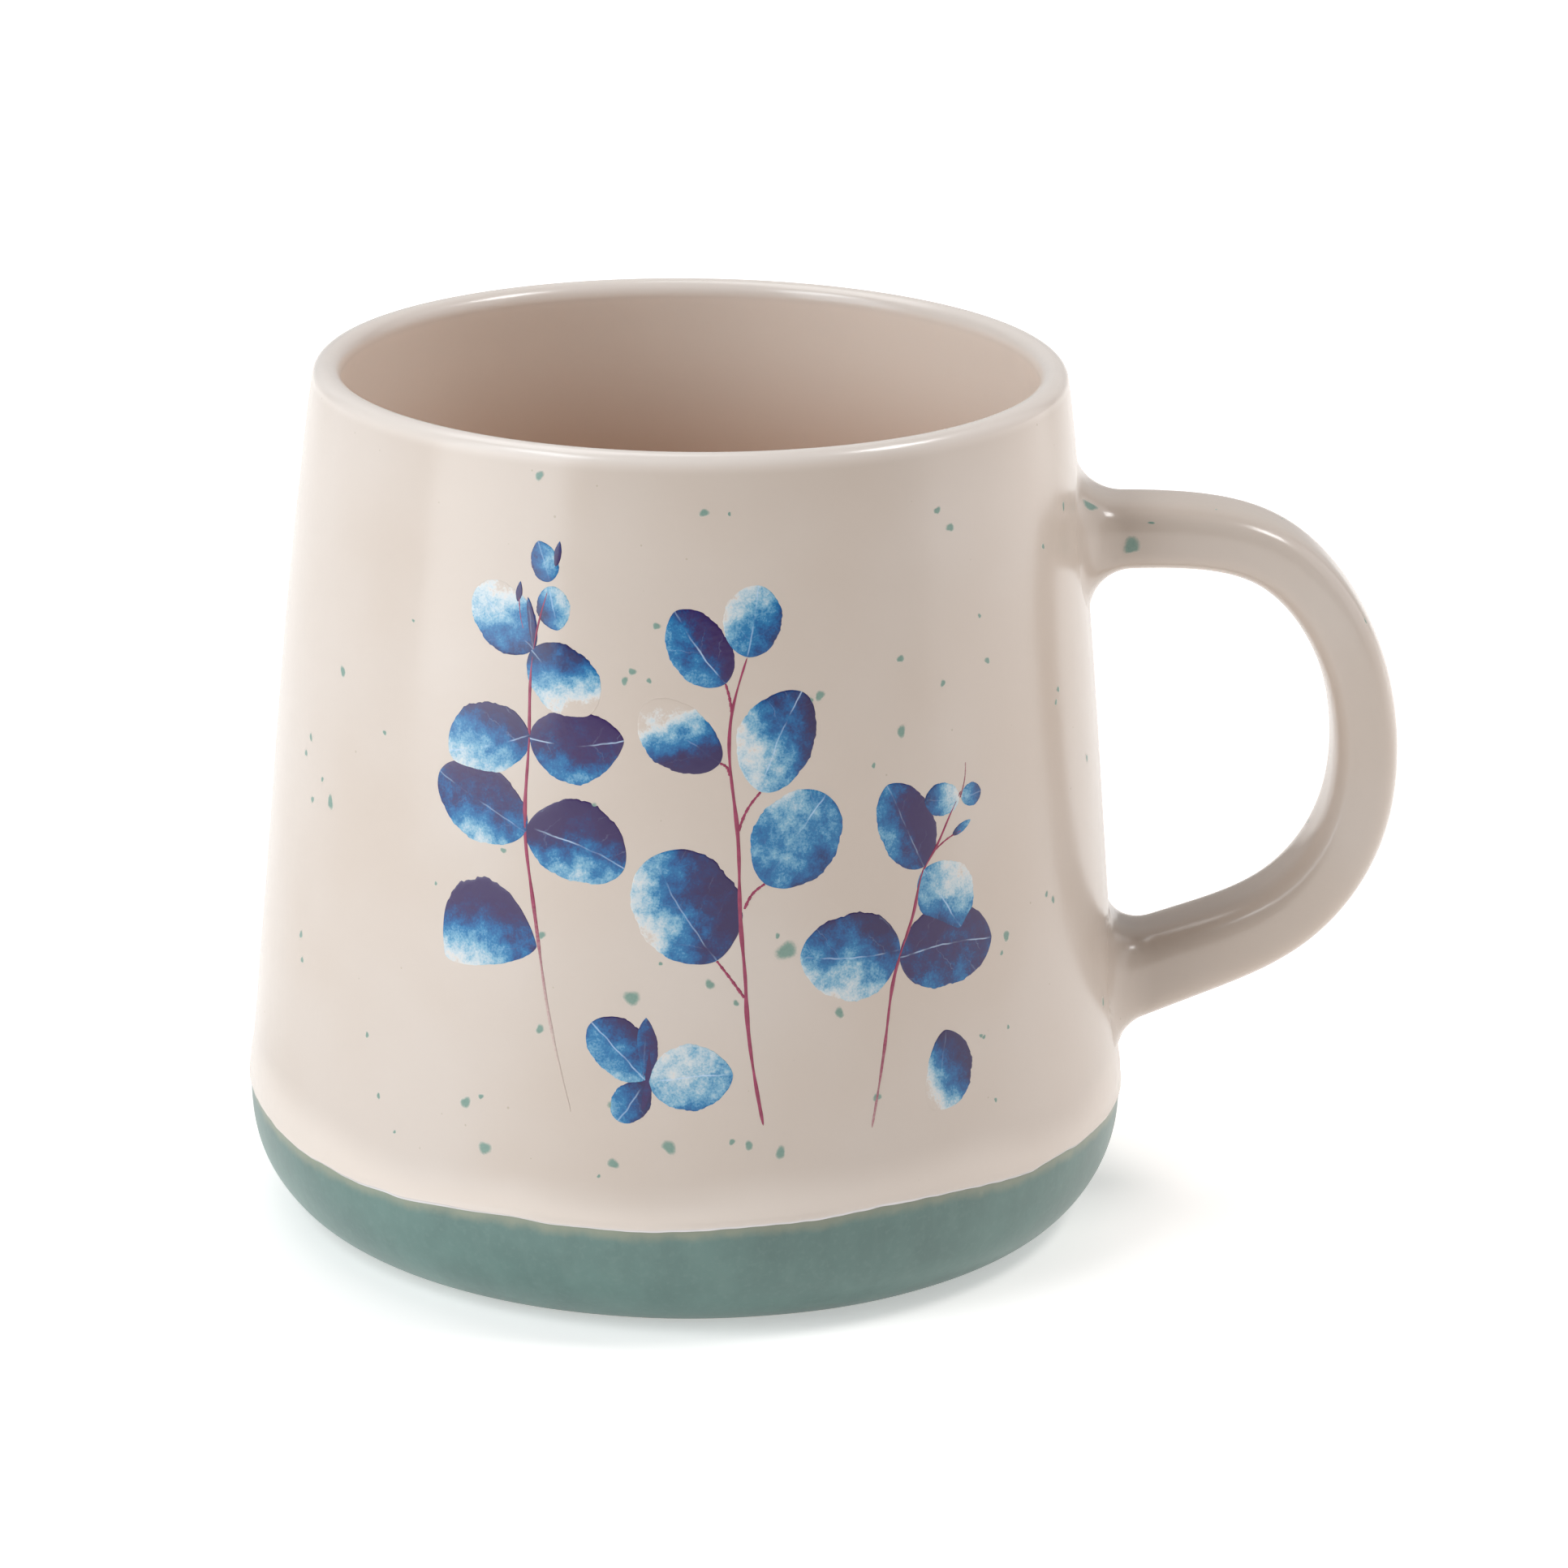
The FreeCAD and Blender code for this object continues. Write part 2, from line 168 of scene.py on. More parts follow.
def unevenness(seed, turn, z, terms, most_waves, most_rise):
    """Smooth field of about -1 to 1: sine waves of random count round the mug, rise and phase."""
    dice = np.random.default_rng(seed)
    around = dice.integers(1, most_waves + 1, terms)
    rise = dice.uniform(-most_rise, most_rise, terms)
    phase = dice.uniform(0, TAU, terms)
    total = sum(np.sin(a * turn + r * z + p) for a, r, p in zip(around, rise, phase))
    return total / math.sqrt(terms)


# ---------------------------------------------------------------- the body's section

LEAN_ANGLE = math.atan(RIM_LEAN)


def lip_point(radius, angle):
    """Point on the lip's round at an angle above the outward radius."""
    centre_r = RIM_RADIUS - LIP_RADIUS * math.cos(LEAN_ANGLE)
    centre_z = HEIGHT - LIP_RADIUS
    return np.stack([centre_r + radius * np.cos(angle), centre_z + radius * np.sin(angle)], -1)


def outside_section():
    """Finished outside as (radius, height): a heel curve and then a leaning, slightly full wall."""
    rim = lip_point(LIP_RADIUS, np.array(LEAN_ANGLE))
    third = (rim[1] - BELLY_HEIGHT) / 3
    heel_rise = BELLY_HEIGHT * HEEL_RISE_SHARE
    belly = (BELLY_RADIUS, BELLY_HEIGHT)
    heel = bezier([
        (FOOT_RADIUS, 0),
        (FOOT_RADIUS + HEEL_FLAT, 0),
        (BELLY_RADIUS + BELLY_LEAN * heel_rise, BELLY_HEIGHT - heel_rise),
        belly,
    ], 120)
    wall = bezier([
        belly,
        (BELLY_RADIUS - BELLY_LEAN * third, BELLY_HEIGHT + third),
        (rim[0] + RIM_LEAN * third, rim[1] - third),
        rim,
    ], 200)
    return np.vstack([heel, wall[1:]])


def inside_section(outset):
    """Inside from the axis out over the floor, round the corner and up the wall to the lip's crest."""
    lip = LIP_RADIUS - outset
    rim = lip_point(lip, np.array(math.pi + LEAN_ANGLE))
    floor = FLOOR_HEIGHT - outset
    corner = (CORNER_RADIUS + outset, CORNER_HEIGHT)
    third = (rim[1] - CORNER_HEIGHT) / 3
    drop = (CORNER_HEIGHT - floor) * CORNER_FULLNESS
    flat = np.stack([np.linspace(0, FLOOR_RADIUS, 24), np.full(24, floor)], -1)
    turn_up = bezier([
        (FLOOR_RADIUS, floor),
        (FLOOR_RADIUS + (CORNER_RADIUS - FLOOR_RADIUS) * CORNER_FULLNESS, floor),
        (corner[0] + CORNER_LEAN * drop, CORNER_HEIGHT - drop),
        corner,
    ], 28)
    wall = bezier([
        corner,
        (corner[0] - CORNER_LEAN * third, CORNER_HEIGHT + third),
        (rim[0] + RIM_LEAN * third, rim[1] - third),
        rim,
    ], 70)
    crest = lip_point(lip, np.linspace(math.pi + LEAN_ANGLE, math.pi / 2, 12))
    return np.vstack([flat, turn_up[1:], wall[1:], crest[1:]])


OUTSIDE = outside_section()
TURNS = np.arange(COLUMNS) * TAU / COLUMNS


def wall_radius(z):
    return np.interp(z, OUTSIDE[:, 1], OUTSIDE[:, 0])


def place(turn, radius, z):
    """Cylinder coordinates to x, y, z."""
    turn, radius, z = np.broadcast_arrays(turn, radius, z)
    return np.stack([radius * np.sin(turn), -radius * np.cos(turn), z], -1)


def wall_lift(turn, z):
    """How far the cream's face stands off the ideal wall: an inset and a hand's unevenness."""
    fade = 1 - smoothstep(HEIGHT - 14, HEIGHT - 3, z)
    thin = THIN_AT_DIP * (1 - smoothstep(15, 30, z))
    broad = unevenness(3, turn, z, 9, 7, 0.12)
    return fade * (WALL_UNEVENNESS * np.clip(broad, -1.6, 1.6) - CREAM_INSET - thin)


def wall_point(turn, z, lift):
    """Point on the cream's outer face, raised by lift."""
    return place(turn, wall_radius(z) + wall_lift(turn, z) + lift, z)


def dip_height(turn):
    """Height of the dip line: a few broad waves, and small ones where the glaze crept."""
    broad = sum(a * np.sin(n * turn + math.radians(p)) for a, n, p in DIP_WAVES)
    creep = 0.1 * unevenness(11, turn, 0, 10, 46, 0) + 0.045 * unevenness(12, turn, 0, 12, 110, 0)
    return DIP_HEIGHT + broad + creep


# ---------------------------------------------------------------- meshes

def shell(points, poles, attributes=None):
    """Closed surface over a grid of points: columns wrap round, and rows wrap too unless the first
    and last rows are poles, which are one point each. Attributes are one number per grid point."""
    rows, columns = points.shape[:2]
    fields = {"co": points}
    for key, values in (attributes or {}).items():
        fields[key] = np.broadcast_to(values, points.shape[:2])
    if poles:
        inner = (rows - 2) * columns
        index = np.zeros((rows, columns), int)
        index[1:-1] = 1 + np.arange(inner).reshape(rows - 2, columns)
        index[-1] = inner + 1
        kept = {k: np.concatenate([f[:1, 0], f[1:-1].reshape(inner, *f.shape[2:]), f[-1:, 0]])
                for k, f in fields.items()}
    else:
        index = np.arange(rows * columns).reshape(rows, columns)
        index = np.vstack([index, index[:1]])
        kept = {k: f.reshape(rows * columns, *f.shape[2:]) for k, f in fields.items()}
    beside = np.roll(index, -1, axis=1)
    quads = np.stack([index[:-1], beside[:-1], beside[1:], index[1:]], -1)
    tris = np.zeros((0, 3), int)
    if poles:
        tris = np.concatenate([quads[0][:, [0, 2, 3]], quads[-1][:, [0, 1, 2]]])
        quads = quads[1:-1]
    quads = quads.reshape(-1, 4)
    co = kept["co"]
    halves = np.concatenate([quads[:, [0, 1, 2]], quads[:, [0, 2, 3]], tris])
    a, b, c = (co[halves[:, k]] for k in range(3))
    if np.einsum("ij,ij->", a, np.cross(b, c)) < 0:
        quads, tris = quads[:, ::-1], tris[:, ::-1]
    return {"fields": kept, "quads": quads, "tris": tris}


def make_piece(name, shells, finish, replaced):
    """One object from closed shells in millimetres, smooth but for its crisp edges."""
    starts = np.cumsum([0] + [len(s["fields"]["co"]) for s in shells])
    co = np.concatenate([s["fields"]["co"] for s in shells]) * MM
    quads = np.concatenate([s["quads"] + k for s, k in zip(shells, starts)])
    tris = np.concatenate([s["tris"] + k for s, k in zip(shells, starts)])
    mesh = bpy.data.meshes.new(name)
    mesh.from_pydata(co.tolist(), [], quads.tolist() + tris.tolist())
    mesh.shade_smooth()
    mesh.set_sharp_from_angle(angle=math.radians(60))
    for key in shells[0]["fields"]:
        if key != "co":
            values = np.concatenate([s["fields"][key] for s in shells]).astype(np.float32)
            mesh.attributes.new(key, "FLOAT", "POINT").data.foreach_set("value", values)
    mesh.materials.append(finish.material)
    piece = bpy.data.objects.new(name, mesh)
    bpy.context.scene.collection.objects.link(piece)
    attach(piece, "root")
    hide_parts(*replaced)


def turned(section, poles):
    """A section of (radius, height) points turned round the axis."""
    return shell(place(TURNS, section[:, :1], section[:, 1:]), poles)


# ---------------------------------------------------------------- finishes

def srgb(red, green, blue):
    """A colour as seen on a screen, 0 to 255, to linear light with full alpha."""
    part = [c / 255 for c in (red, green, blue)]
    return tuple(c / 12.92 if c <= 0.04045 else ((c + 0.055) / 1.055) ** 2.4 for c in part) + (1.0,)


class Level:
    """A node socket whose arithmetic adds Math nodes to the finish it belongs to."""

    def __init__(self, finish, socket):
        self.finish = finish
        self.socket = socket

    def __add__(self, other):
        return self.finish.math("ADD", self, other)

    def __sub__(self, other):
        return self.finish.math("SUBTRACT", self, other)

    def __rsub__(self, other):
        return self.finish.math("SUBTRACT", other, self)

    def __mul__(self, other):
        return self.finish.math("MULTIPLY", self, other)

    def __abs__(self):
        return self.finish.math("ABSOLUTE", self)

    __radd__ = __add__
    __rmul__ = __mul__


class Finish:
    """A fired surface: a Principled shader and the nodes that vary it."""

    def __init__(self, name, **own_sockets):
        self.material = bpy.data.materials.new(name)
        self.material.use_nodes = True
        self.tree = self.material.node_tree
        self.shader = self.tree.nodes["Principled BSDF"]
        for key, value in own_sockets.items():
            self.shader.inputs[key.replace("_", " ").title().replace("Ior", "IOR")].default_value = value
        self.coordinates = self.add("ShaderNodeTexCoord", {}, {})
        self.position = self.add("ShaderNodeVectorMath", {"operation": "SCALE"},
                                 {0: self.coordinates.outputs["Object"], "Scale": 1 / MM}).outputs[0]

    def add(self, kind, settings, sockets):
        """A node of a kind: its settings are set first, and then its sockets are set or linked."""
        node = self.tree.nodes.new(kind)
        for key, value in settings.items():
            if key == "stops":
                self.set_stops(node.color_ramp, value)
            else:
                setattr(node, key, value)
        for key, value in sockets.items():
            socket = node.inputs[key] if isinstance(key, int) else self.find(node.inputs, key)
            self.feed(socket, value)
        return node

    @staticmethod
    def find(sockets, key):
        matches = [s for s in sockets if s.identifier == key] or [s for s in sockets if s.name == key]
        return matches[0]

    @staticmethod
    def set_stops(ramp, stops):
        while len(ramp.elements) < len(stops):
            ramp.elements.new(1.0)
        for element, (position, colour) in zip(ramp.elements, stops):
            element.position = position
            element.color = colour

    def feed(self, socket, value):
        if isinstance(value, Level):
            value = value.socket
        if isinstance(value, bpy.types.NodeSocket):
            self.tree.links.new(value, socket)
        else:
            socket.default_value = value

    def math(self, operation, *values):
        node = self.add("ShaderNodeMath", {"operation": operation}, dict(enumerate(values)))
        return Level(self, node.outputs[0])

    def step(self, low, high, value):
        """Smooth rise from 0 at low to 1 at high; low may be the larger."""
        ends = {"From Min": low, "From Max": high, "Value": value}
        node = self.add("ShaderNodeMapRange", {"interpolation_type": "SMOOTHSTEP"}, ends)
        return Level(self, node.outputs[0])

    def attribute(self, name):
        node = self.add("ShaderNodeAttribute", {"attribute_name": name}, {})
        return Level(self, node.outputs["Fac"])

    def stretch(self, vector, x, y, z):
        """The vector with each part scaled by its own factor."""
        sockets = {0: vector, 1: (x, y, z)}
        return self.add("ShaderNodeVectorMath", {"operation": "MULTIPLY"}, sockets).outputs[0]

    def shift(self, vector, amount):
        """The vector moved by the same amount on each axis."""
        return self.add("ShaderNodeVectorMath", {"operation": "ADD"}, {0: vector, 1: amount}).outputs[0]

    def noise(self, size, detail=2.0, rough=0.5, at=None):
        """Fractal noise of about 0 to 1 whose blots are about size millimetres across."""
        sockets = {"Vector": self.position if at is None else at, "Scale": 1 / size,
                   "Detail": detail, "Roughness": rough}
        return Level(self, self.add("ShaderNodeTexNoise", {}, sockets).outputs[0])

    def part(self, vector, index):
        """One of a vector's three numbers."""
        return Level(self, self.add("ShaderNodeSeparateXYZ", {}, {0: vector}).outputs[index])

    def mix(self, amount, first, second):
        """Colour that goes from first to second as amount goes from 0 to 1."""
        sockets = {"Factor_Float": amount, "A_Color": first, "B_Color": second}
        node = self.add("ShaderNodeMix", {"data_type": "RGBA"}, sockets)
        return self.find(node.outputs, "Result_Color")

    def ramp(self, value, stops):
        node = self.add("ShaderNodeValToRGB", {"stops": stops}, {0: value})
        return node.outputs[0]

    def bump(self, height, depth):
        """Normal from a 0 to 1 height whose full swing is depth millimetres."""
        node = self.add("ShaderNodeBump", {}, {"Height": height, "Distance": depth * MM, "Strength": 1.0})
        self.feed(self.shader.inputs["Normal"], node.outputs[0])

    def finish(self, colour, roughness):
        self.feed(self.shader.inputs["Base Color"], colour)
        self.feed(self.shader.inputs["Roughness"], roughness)


CREAM = (0.552, 0.468, 0.405, 1)
CREAM_WARM = (0.538, 0.45, 0.383, 1)
CREAM_COOL = (0.562, 0.482, 0.422, 1)
# Paler colour painted on the lip: painted light standing in for the light and reflections the lip catches.
LIP_PAINTED_LIGHT = (0.7, 0.62, 0.56, 1)


def cream_colour(finish):
    """Cream with slow warm and cool drifts, a fine tooth and pin-prick specks."""
    drift = finish.noise(26, 2)
    tooth = finish.noise(0.9, 3, 0.6)
    colour = finish.mix(finish.step(0.35, 0.7, drift), CREAM_WARM, CREAM_COOL)
    colour = finish.mix(0.12 * tooth, colour, CREAM)
    cells = finish.add("ShaderNodeTexVoronoi", {"feature": "F1"},
                       {"Vector": finish.position, "Scale": 0.42, "Randomness": 1.0})
    reach = Level(finish, cells.outputs["Distance"])
    pick = finish.add("ShaderNodeSeparateColor", {}, {0: cells.outputs["Color"]})
    kind = Level(finish, pick.outputs[0])
    size = 0.03 + 0.05 * Level(finish, pick.outputs[1])
    dot = finish.step(0.0, 0.03, size - reach) * finish.step(0.72, 0.74, kind)
    return finish.mix(0.4 * dot, colour, srgb(150, 138, 112))


def make_cream():
    """Satin-gloss cream glaze with a very fine orange peel, with painted light at the lip, a painted
    highlight in a paler band where it rolled, and a painted highlight line at its edge on the teal.
    """
    finish = Finish("cream_glaze", ior=1.5)
    height = finish.part(finish.position, 2)
    # Painted light: the lip turns to the paler lip colour.
    colour = finish.mix(finish.step(95.8, 97.7, height), cream_colour(finish), LIP_PAINTED_LIGHT)
    # Where the glaze rolls thicker above the dip line, a paler colour is painted in as a highlight.
    colour = finish.mix(0.8 * finish.attribute("roll"), colour, (0.68, 0.59, 0.52, 1))
    # Painted highlight: a thin pale bluish line along the bead at the cream's edge.
    colour = finish.mix(0.6 * finish.attribute("edge_line"), colour, srgb(212, 212, 220))
    finish.finish(colour, 0.17 + 0.07 * finish.noise(9, 2))
    finish.bump(6 * finish.noise(15, 1) + finish.noise(3.2, 2) + 0.3 * finish.noise(0.7, 2), 0.02)
    return finish


def make_inside_cream():
    """The same cream inside, with painted light and shade by height: painted light makes it pale under the
    lip, and painted shade makes it darker and warmer further down and on the floor.
    """
    finish = Finish("cream_glaze_painted_depth_shade", ior=1.5)
    height = finish.part(finish.position, 2)
    # Painted light and shade: pale near the lip, darker and warmer further down the inside.
    painted_depth_shading = finish.mix(finish.step(66, 92, height), (0.64, 0.425, 0.305, 1), (0.94, 0.81, 0.7, 1))
    # Lower down and on the floor, a second painted-shade colour.
    painted_depth_shading = finish.mix(finish.step(58, 25, height), painted_depth_shading, (0.64, 0.5, 0.4, 1))
    # Painted light on the lip, as on the outside.
    colour = finish.mix(finish.step(95.5, 97.9, height), painted_depth_shading, LIP_PAINTED_LIGHT)
    finish.finish(colour, 0.17 + 0.07 * finish.noise(9, 2))
    finish.bump(finish.noise(3.2, 2) + 0.3 * finish.noise(0.7, 2), 0.02)
    return finish


def make_teal():
    """Satin teal with faint upright drag marks and a tan blush where it thins under the cream."""
    finish = Finish("teal_glaze", ior=1.7)
    drag = finish.noise(1.8, 3, 0.6, finish.stretch(finish.position, 1, 1, 0.3))
    cloud = finish.noise(11, 4, 0.6)
    colour = finish.mix(finish.step(0.3, 0.7, cloud), srgb(68, 100, 94), srgb(82, 115, 108))
    colour = finish.mix(0.25 * finish.step(0.4, 0.75, drag), colour, srgb(98, 126, 118))
    colour = finish.mix(0.2 * finish.step(0.5, 0.75, finish.noise(0.7, 2)), colour, srgb(104, 130, 122))
    below = finish.attribute("below_edge")
    blush = finish.step(1.5, 0.0, below + 1.4 * finish.noise(2.4, 3) - 0.7)
    colour = finish.mix(0.55 * blush, colour, srgb(152, 148, 122))
    finish.finish(colour, 0.29 + 0.1 * drag)
    finish.bump(drag + 0.5 * finish.noise(0.8, 2), 0.02)
    return finish


def make_clay():
    """Bare fired stoneware with sandy grain."""
    finish = Finish("stoneware_clay", ior=1.45)
    grain = finish.noise(0.35, 3, 0.7)
    colour = finish.mix(grain, srgb(190, 168, 140), srgb(214, 196, 170))
    finish.finish(colour, 0.85 + 0.1 * grain)
    finish.bump(grain, 0.05)
    return finish


def make_speckle():
    """Grey-teal oxide spots that melt into the cream at their rims."""
    finish = Finish("teal_speckle", ior=1.5)
    centre = finish.attribute("centre")
    body = finish.mix(finish.noise(0.3, 2), srgb(104, 134, 122), srgb(126, 150, 138))
    melt = finish.step(0.0, 0.55, centre + 0.3 * finish.noise(0.25, 2) - 0.15)
    finish.finish(finish.mix(melt, cream_colour(finish), body), 0.32)
    return finish


# Colour of the wash by its tone, from bare cream to the deepest navy
WASHES = [
    (0.0, srgb(206, 205, 202)),
    (0.14, srgb(176, 192, 199)),
    (0.30, srgb(108, 158, 184)),
    (0.45, srgb(26, 110, 158)),
    (0.60, srgb(2, 78, 134)),
    (0.76, srgb(10, 46, 98)),
    (0.92, srgb(32, 22, 70)),
]


def make_print():
    """Watercolour leaves: a wash from bare cream to navy, blots, granulation, and pale veins."""
    finish = Finish("blue_print", ior=1.5)
    tone = finish.attribute("tone")
    along = finish.attribute("along")
    across = finish.attribute("across")
    seed = finish.attribute("seed")
    spread = {0: seed * 37.0, 1: seed * 11.0, 2: seed * 23.0}
    apart = finish.add("ShaderNodeCombineXYZ", {}, spread).outputs[0]
    spot = finish.shift(finish.position, apart)
    blots = finish.noise(4.8, 2, 0.5, spot)
    mottles = finish.noise(1.2, 3, 0.6, spot)
    grain = finish.noise(0.26, 2, 0.7, spot)
    wash = tone + 0.9 * (blots - 0.5) + 0.4 * (mottles - 0.5) + 0.4 * (grain - 0.5)
    colour = finish.ramp(wash, WASHES)
    violet = finish.attribute("violet") * finish.step(0.55, 0.85, wash)
    colour = finish.mix(0.6 * violet, colour, srgb(56, 26, 84))
    wander = 0.5 * (finish.noise(2.2, 2, 0.5, spot) - 0.5)
    rib = finish.step(0.12, 0.02, abs(across + wander))
    side = finish.math("PINGPONG", along - 0.8 * abs(across) + 1.6 * mottles, 1.3)
    side_vein = 0.2 * finish.step(0.12, 0.0, side) * finish.step(0.45, 0.6, blots)
    fine = finish.step(0.38, 0.62, finish.noise(3.2, 2, 0.5, spot)) * finish.attribute("vein")
    colour = finish.mix(0.75 * fine * finish.math("MAXIMUM", rib, side_vein), colour, srgb(178, 200, 224))
    bare = finish.step(0.06, -0.14, wash)
    colour = finish.mix(bare, colour, cream_colour(finish))
    stem = finish.attribute("stem")
    plum = finish.mix(finish.noise(0.9, 3), srgb(112, 24, 56), srgb(160, 58, 92))
    colour = finish.mix(finish.step(0.45, 0.55, stem), colour, plum)
    fade = finish.attribute("fade") + 0.35 * (grain - 0.5)
    colour = finish.mix(0.95 * finish.step(0.8, 0.05, fade), colour, cream_colour(finish))
    finish.finish(colour, 0.15 + 0.08 * blots)
    finish.bump(finish.noise(0.55, 2), 0.012)
    return finish


# ---------------------------------------------------------------- the body's pieces

def cream_outside():
    """Ring from the dip line up the wall to the lip's crest and back down behind.

    Rows climb by s above the dip line, whose waves die out with s. A bead stands at the edge: a
    bell-shaped ridge, and a quarter-round nose that drops onto the teal."""
    top = lip_point(LIP_RADIUS, np.array(LEAN_ANGLE))[1]
    nose = NOSE_HEIGHT * (1 - np.cos(np.linspace(0, math.pi / 2, 9)))
    beads = np.linspace(BEAD_AT, 3, 14)
    climb = np.linspace(3.6, top - DIP_HEIGHT, 90)
    s = np.concatenate([nose, beads, climb])[:, None]
    waves = (dip_height(TURNS) - DIP_HEIGHT) * (1 - smoothstep(3, 14, s))
    z = DIP_HEIGHT + s + waves
    bead = BEAD_HEIGHT * (1 + 0.3 * np.clip(unevenness(21, TURNS, 0, 8, 30, 0), -1, 1))
    ridge = bead * np.exp(-(((s - BEAD_AT) / BEAD_REACH) ** 2))
    ridge = ridge + ROLL_HEIGHT * np.exp(-(((s - ROLL_AT) / ROLL_REACH) ** 2))
    drop = (TEAL_INSET - CREAM_INSET - THIN_AT_DIP + 0.1) * np.sqrt(np.clip(1 - s / NOSE_HEIGHT, 0, 1))
    front = wall_point(TURNS, z, ridge - drop)
    arc = np.linspace(LEAN_ANGLE, math.pi / 2, 12)[1:]
    lip = lip_point(LIP_RADIUS, arc)
    lip_back = lip_point(LIP_RADIUS - COAT_BACK, arc[::-3])
    behind = slice(None, None, -6)
    back = wall_point(TURNS, z[behind], -COAT_BACK)
    rows = [
        front,
        place(TURNS, lip[:, :1], lip[:, 1:]),
        place(TURNS, lip_back[:, :1], lip_back[:, 1:]),
        back,
    ]
    # A thin line at the cream's edge, painted as a highlight by the cream finish.
    edge = np.exp(-((s / 0.38) ** 4))
    # Band a few millimetres above the dip line where the glaze rolls; the cream finish paints a highlight
    # there.
    roll = 1 - smoothstep(1.5, 6.5, s + 0.8 * unevenness(22, TURNS, 0, 6, 12, 0))
    plain = np.zeros((sum(len(r) for r in rows[1:]), COLUMNS))
    marks = {"edge_line": edge + plain[:1], "roll": roll}
    return shell(np.concatenate(rows), False, {k: np.concatenate([v, plain]) for k, v in marks.items()})


def cream_inside():
    """Inside face from the axis to the lip's crest, and back through the clay to the axis."""
    face = inside_section(0)
    back = inside_section(GLAZE)[::-4]
    back[-1, 0] = 0
    return turned(np.vstack([face, back]), True)


def teal_base():
    """Ring from just above the foot to a little under the cream's edge, and back behind."""
    climb = np.linspace(0, 1, 60)[:, None] ** 1.7
    start = 0.08
    z = start + (dip_height(TURNS) + TEAL_UNDERLAP - start) * climb
    ripple = 0.04 * unevenness(31, TURNS, z, 8, 18, 0.3)
    front = place(TURNS, wall_radius(z) - TEAL_INSET + ripple, z)
    back = place(TURNS, wall_radius(z[::-6]) - TEAL_INSET - COAT_BACK, z[::-6])
    below = np.concatenate([dip_height(TURNS) - z, dip_height(TURNS) - z[::-6]])
    return shell(np.concatenate([front, back]), False, {"below_edge": below})


def clay_core():
    """Clay under the coats; only its foot ring and the recess inside the ring stay bare."""
    inner = inside_section(GLAZE)[::3]
    inner[0, 0] = 0
    wall = OUTSIDE[::-5].copy()
    wall[:, 0] -= COAT_BACK
    wall = wall[(wall[:, 1] > 0.2) & (wall[:, 1] < HEIGHT - 3)]
    ring = np.array([
        (FOOT_RADIUS - 1.0, 0.12), (FOOT_RADIUS - 1.5, 0.0), (FOOT_RING_INNER + 0.5, 0.0),
        (FOOT_RING_INNER, 0.12), (FOOT_RING_INNER - 0.5, 0.7),
        (FOOT_RING_INNER - RECESS_BEVEL + 0.4, RECESS_DEPTH - 0.3),
        (FOOT_RING_INNER - RECESS_BEVEL, RECESS_DEPTH),
        (20, RECESS_DEPTH), (0, RECESS_DEPTH),
    ])
    return turned(np.vstack([inner, wall, ring]), True)


def recess_glaze():
    """Thin disc of base glaze in the recess, with a rounded, slightly raised rim."""
    radius = FOOT_RING_INNER - RECESS_BEVEL - 0.8
    angle = np.linspace(math.pi / 2, -math.pi / 2, 9)
    half = 0.12
    level = RECESS_DEPTH - half
    rim = np.stack([radius + half * np.cos(angle), level + half * np.sin(angle)], -1)
    under = level - 0.6 * half
    section = np.vstack([[(0, level + half)], rim, [(radius - 4, under), (0, under)]])
    section[:, 1] = np.minimum(section[:, 1], RECESS_DEPTH + 0.02)
    return shell(place(TURNS, section[:, :1], section[:, 1:]), True, {"below_edge": 8.0})


# ---------------------------------------------------------------- the handle

def strap_frame():
    """The handle's line: points, unit tangents, distances, and where it leaves and meets the wall."""
    line = smooth_line(HANDLE_LINE, 1600)
    tangent = np.gradient(line, axis=0)
    tangent /= np.linalg.norm(tangent, axis=1)[:, None]
    run = np.concatenate([[0], np.cumsum(np.linalg.norm(np.diff(line, axis=0), axis=1))])
    outside = np.flatnonzero(line[:, 0] > wall_radius(line[:, 1]))
    return line, tangent, run, run[outside[0]], run[outside[-1]]


def strap_point(distance, angle, lift=0.0):
    """Point on the strap: a superellipse section at a distance along its line.

    Near the wall the point moves out along the wall by a quarter round of its distance from the
    wall, and then back so that this distance is kept: that is the fillet at the root."""
    line, tangent, run, first, last = strap_frame()
    centre = np.stack([np.interp(distance, run, line[:, k]) for k in (0, 1)], -1)
    along = np.stack([np.interp(distance, run, tangent[:, k]) for k in (0, 1)], -1)
    along /= np.linalg.norm(along, axis=-1)[..., None]
    t = np.clip((distance - first) / (last - first), 0, 1)
    thick = STRAP_HALF_THICKNESS + UPPER_SWELL * (1 - t) ** 6 + LOWER_SWELL * t**3 + lift
    wide = STRAP_HALF_WIDTH + lift + 0 * t
    c, s = np.cos(angle), np.sin(angle)
    power = 2 / SQUARENESS
    out = thick * np.sign(c) * np.abs(c) ** power
    side = wide * np.sign(s) * np.abs(s) ** power
    facing_out = np.sign(c) * np.abs(c) ** (2 - power) / thick
    facing_side = np.sign(s) * np.abs(s) ** (2 - power) / wide
    point = np.stack([centre[..., 0] - along[..., 1] * out, side, centre[..., 1] + along[..., 0] * out], -1)
    facing = np.stack([-along[..., 1] * facing_out, facing_side, along[..., 0] * facing_out], -1)
    facing /= np.linalg.norm(facing, axis=-1)[..., None]
    return fillet(point, facing)


def off_wall(point):
    """Distance outside the cream's wall, measured along the radius."""
    turn = np.arctan2(point[..., 0], -point[..., 1])
    face = wall_radius(point[..., 2]) + wall_lift(turn, point[..., 2])
    return np.hypot(point[..., 0], point[..., 1]) - face


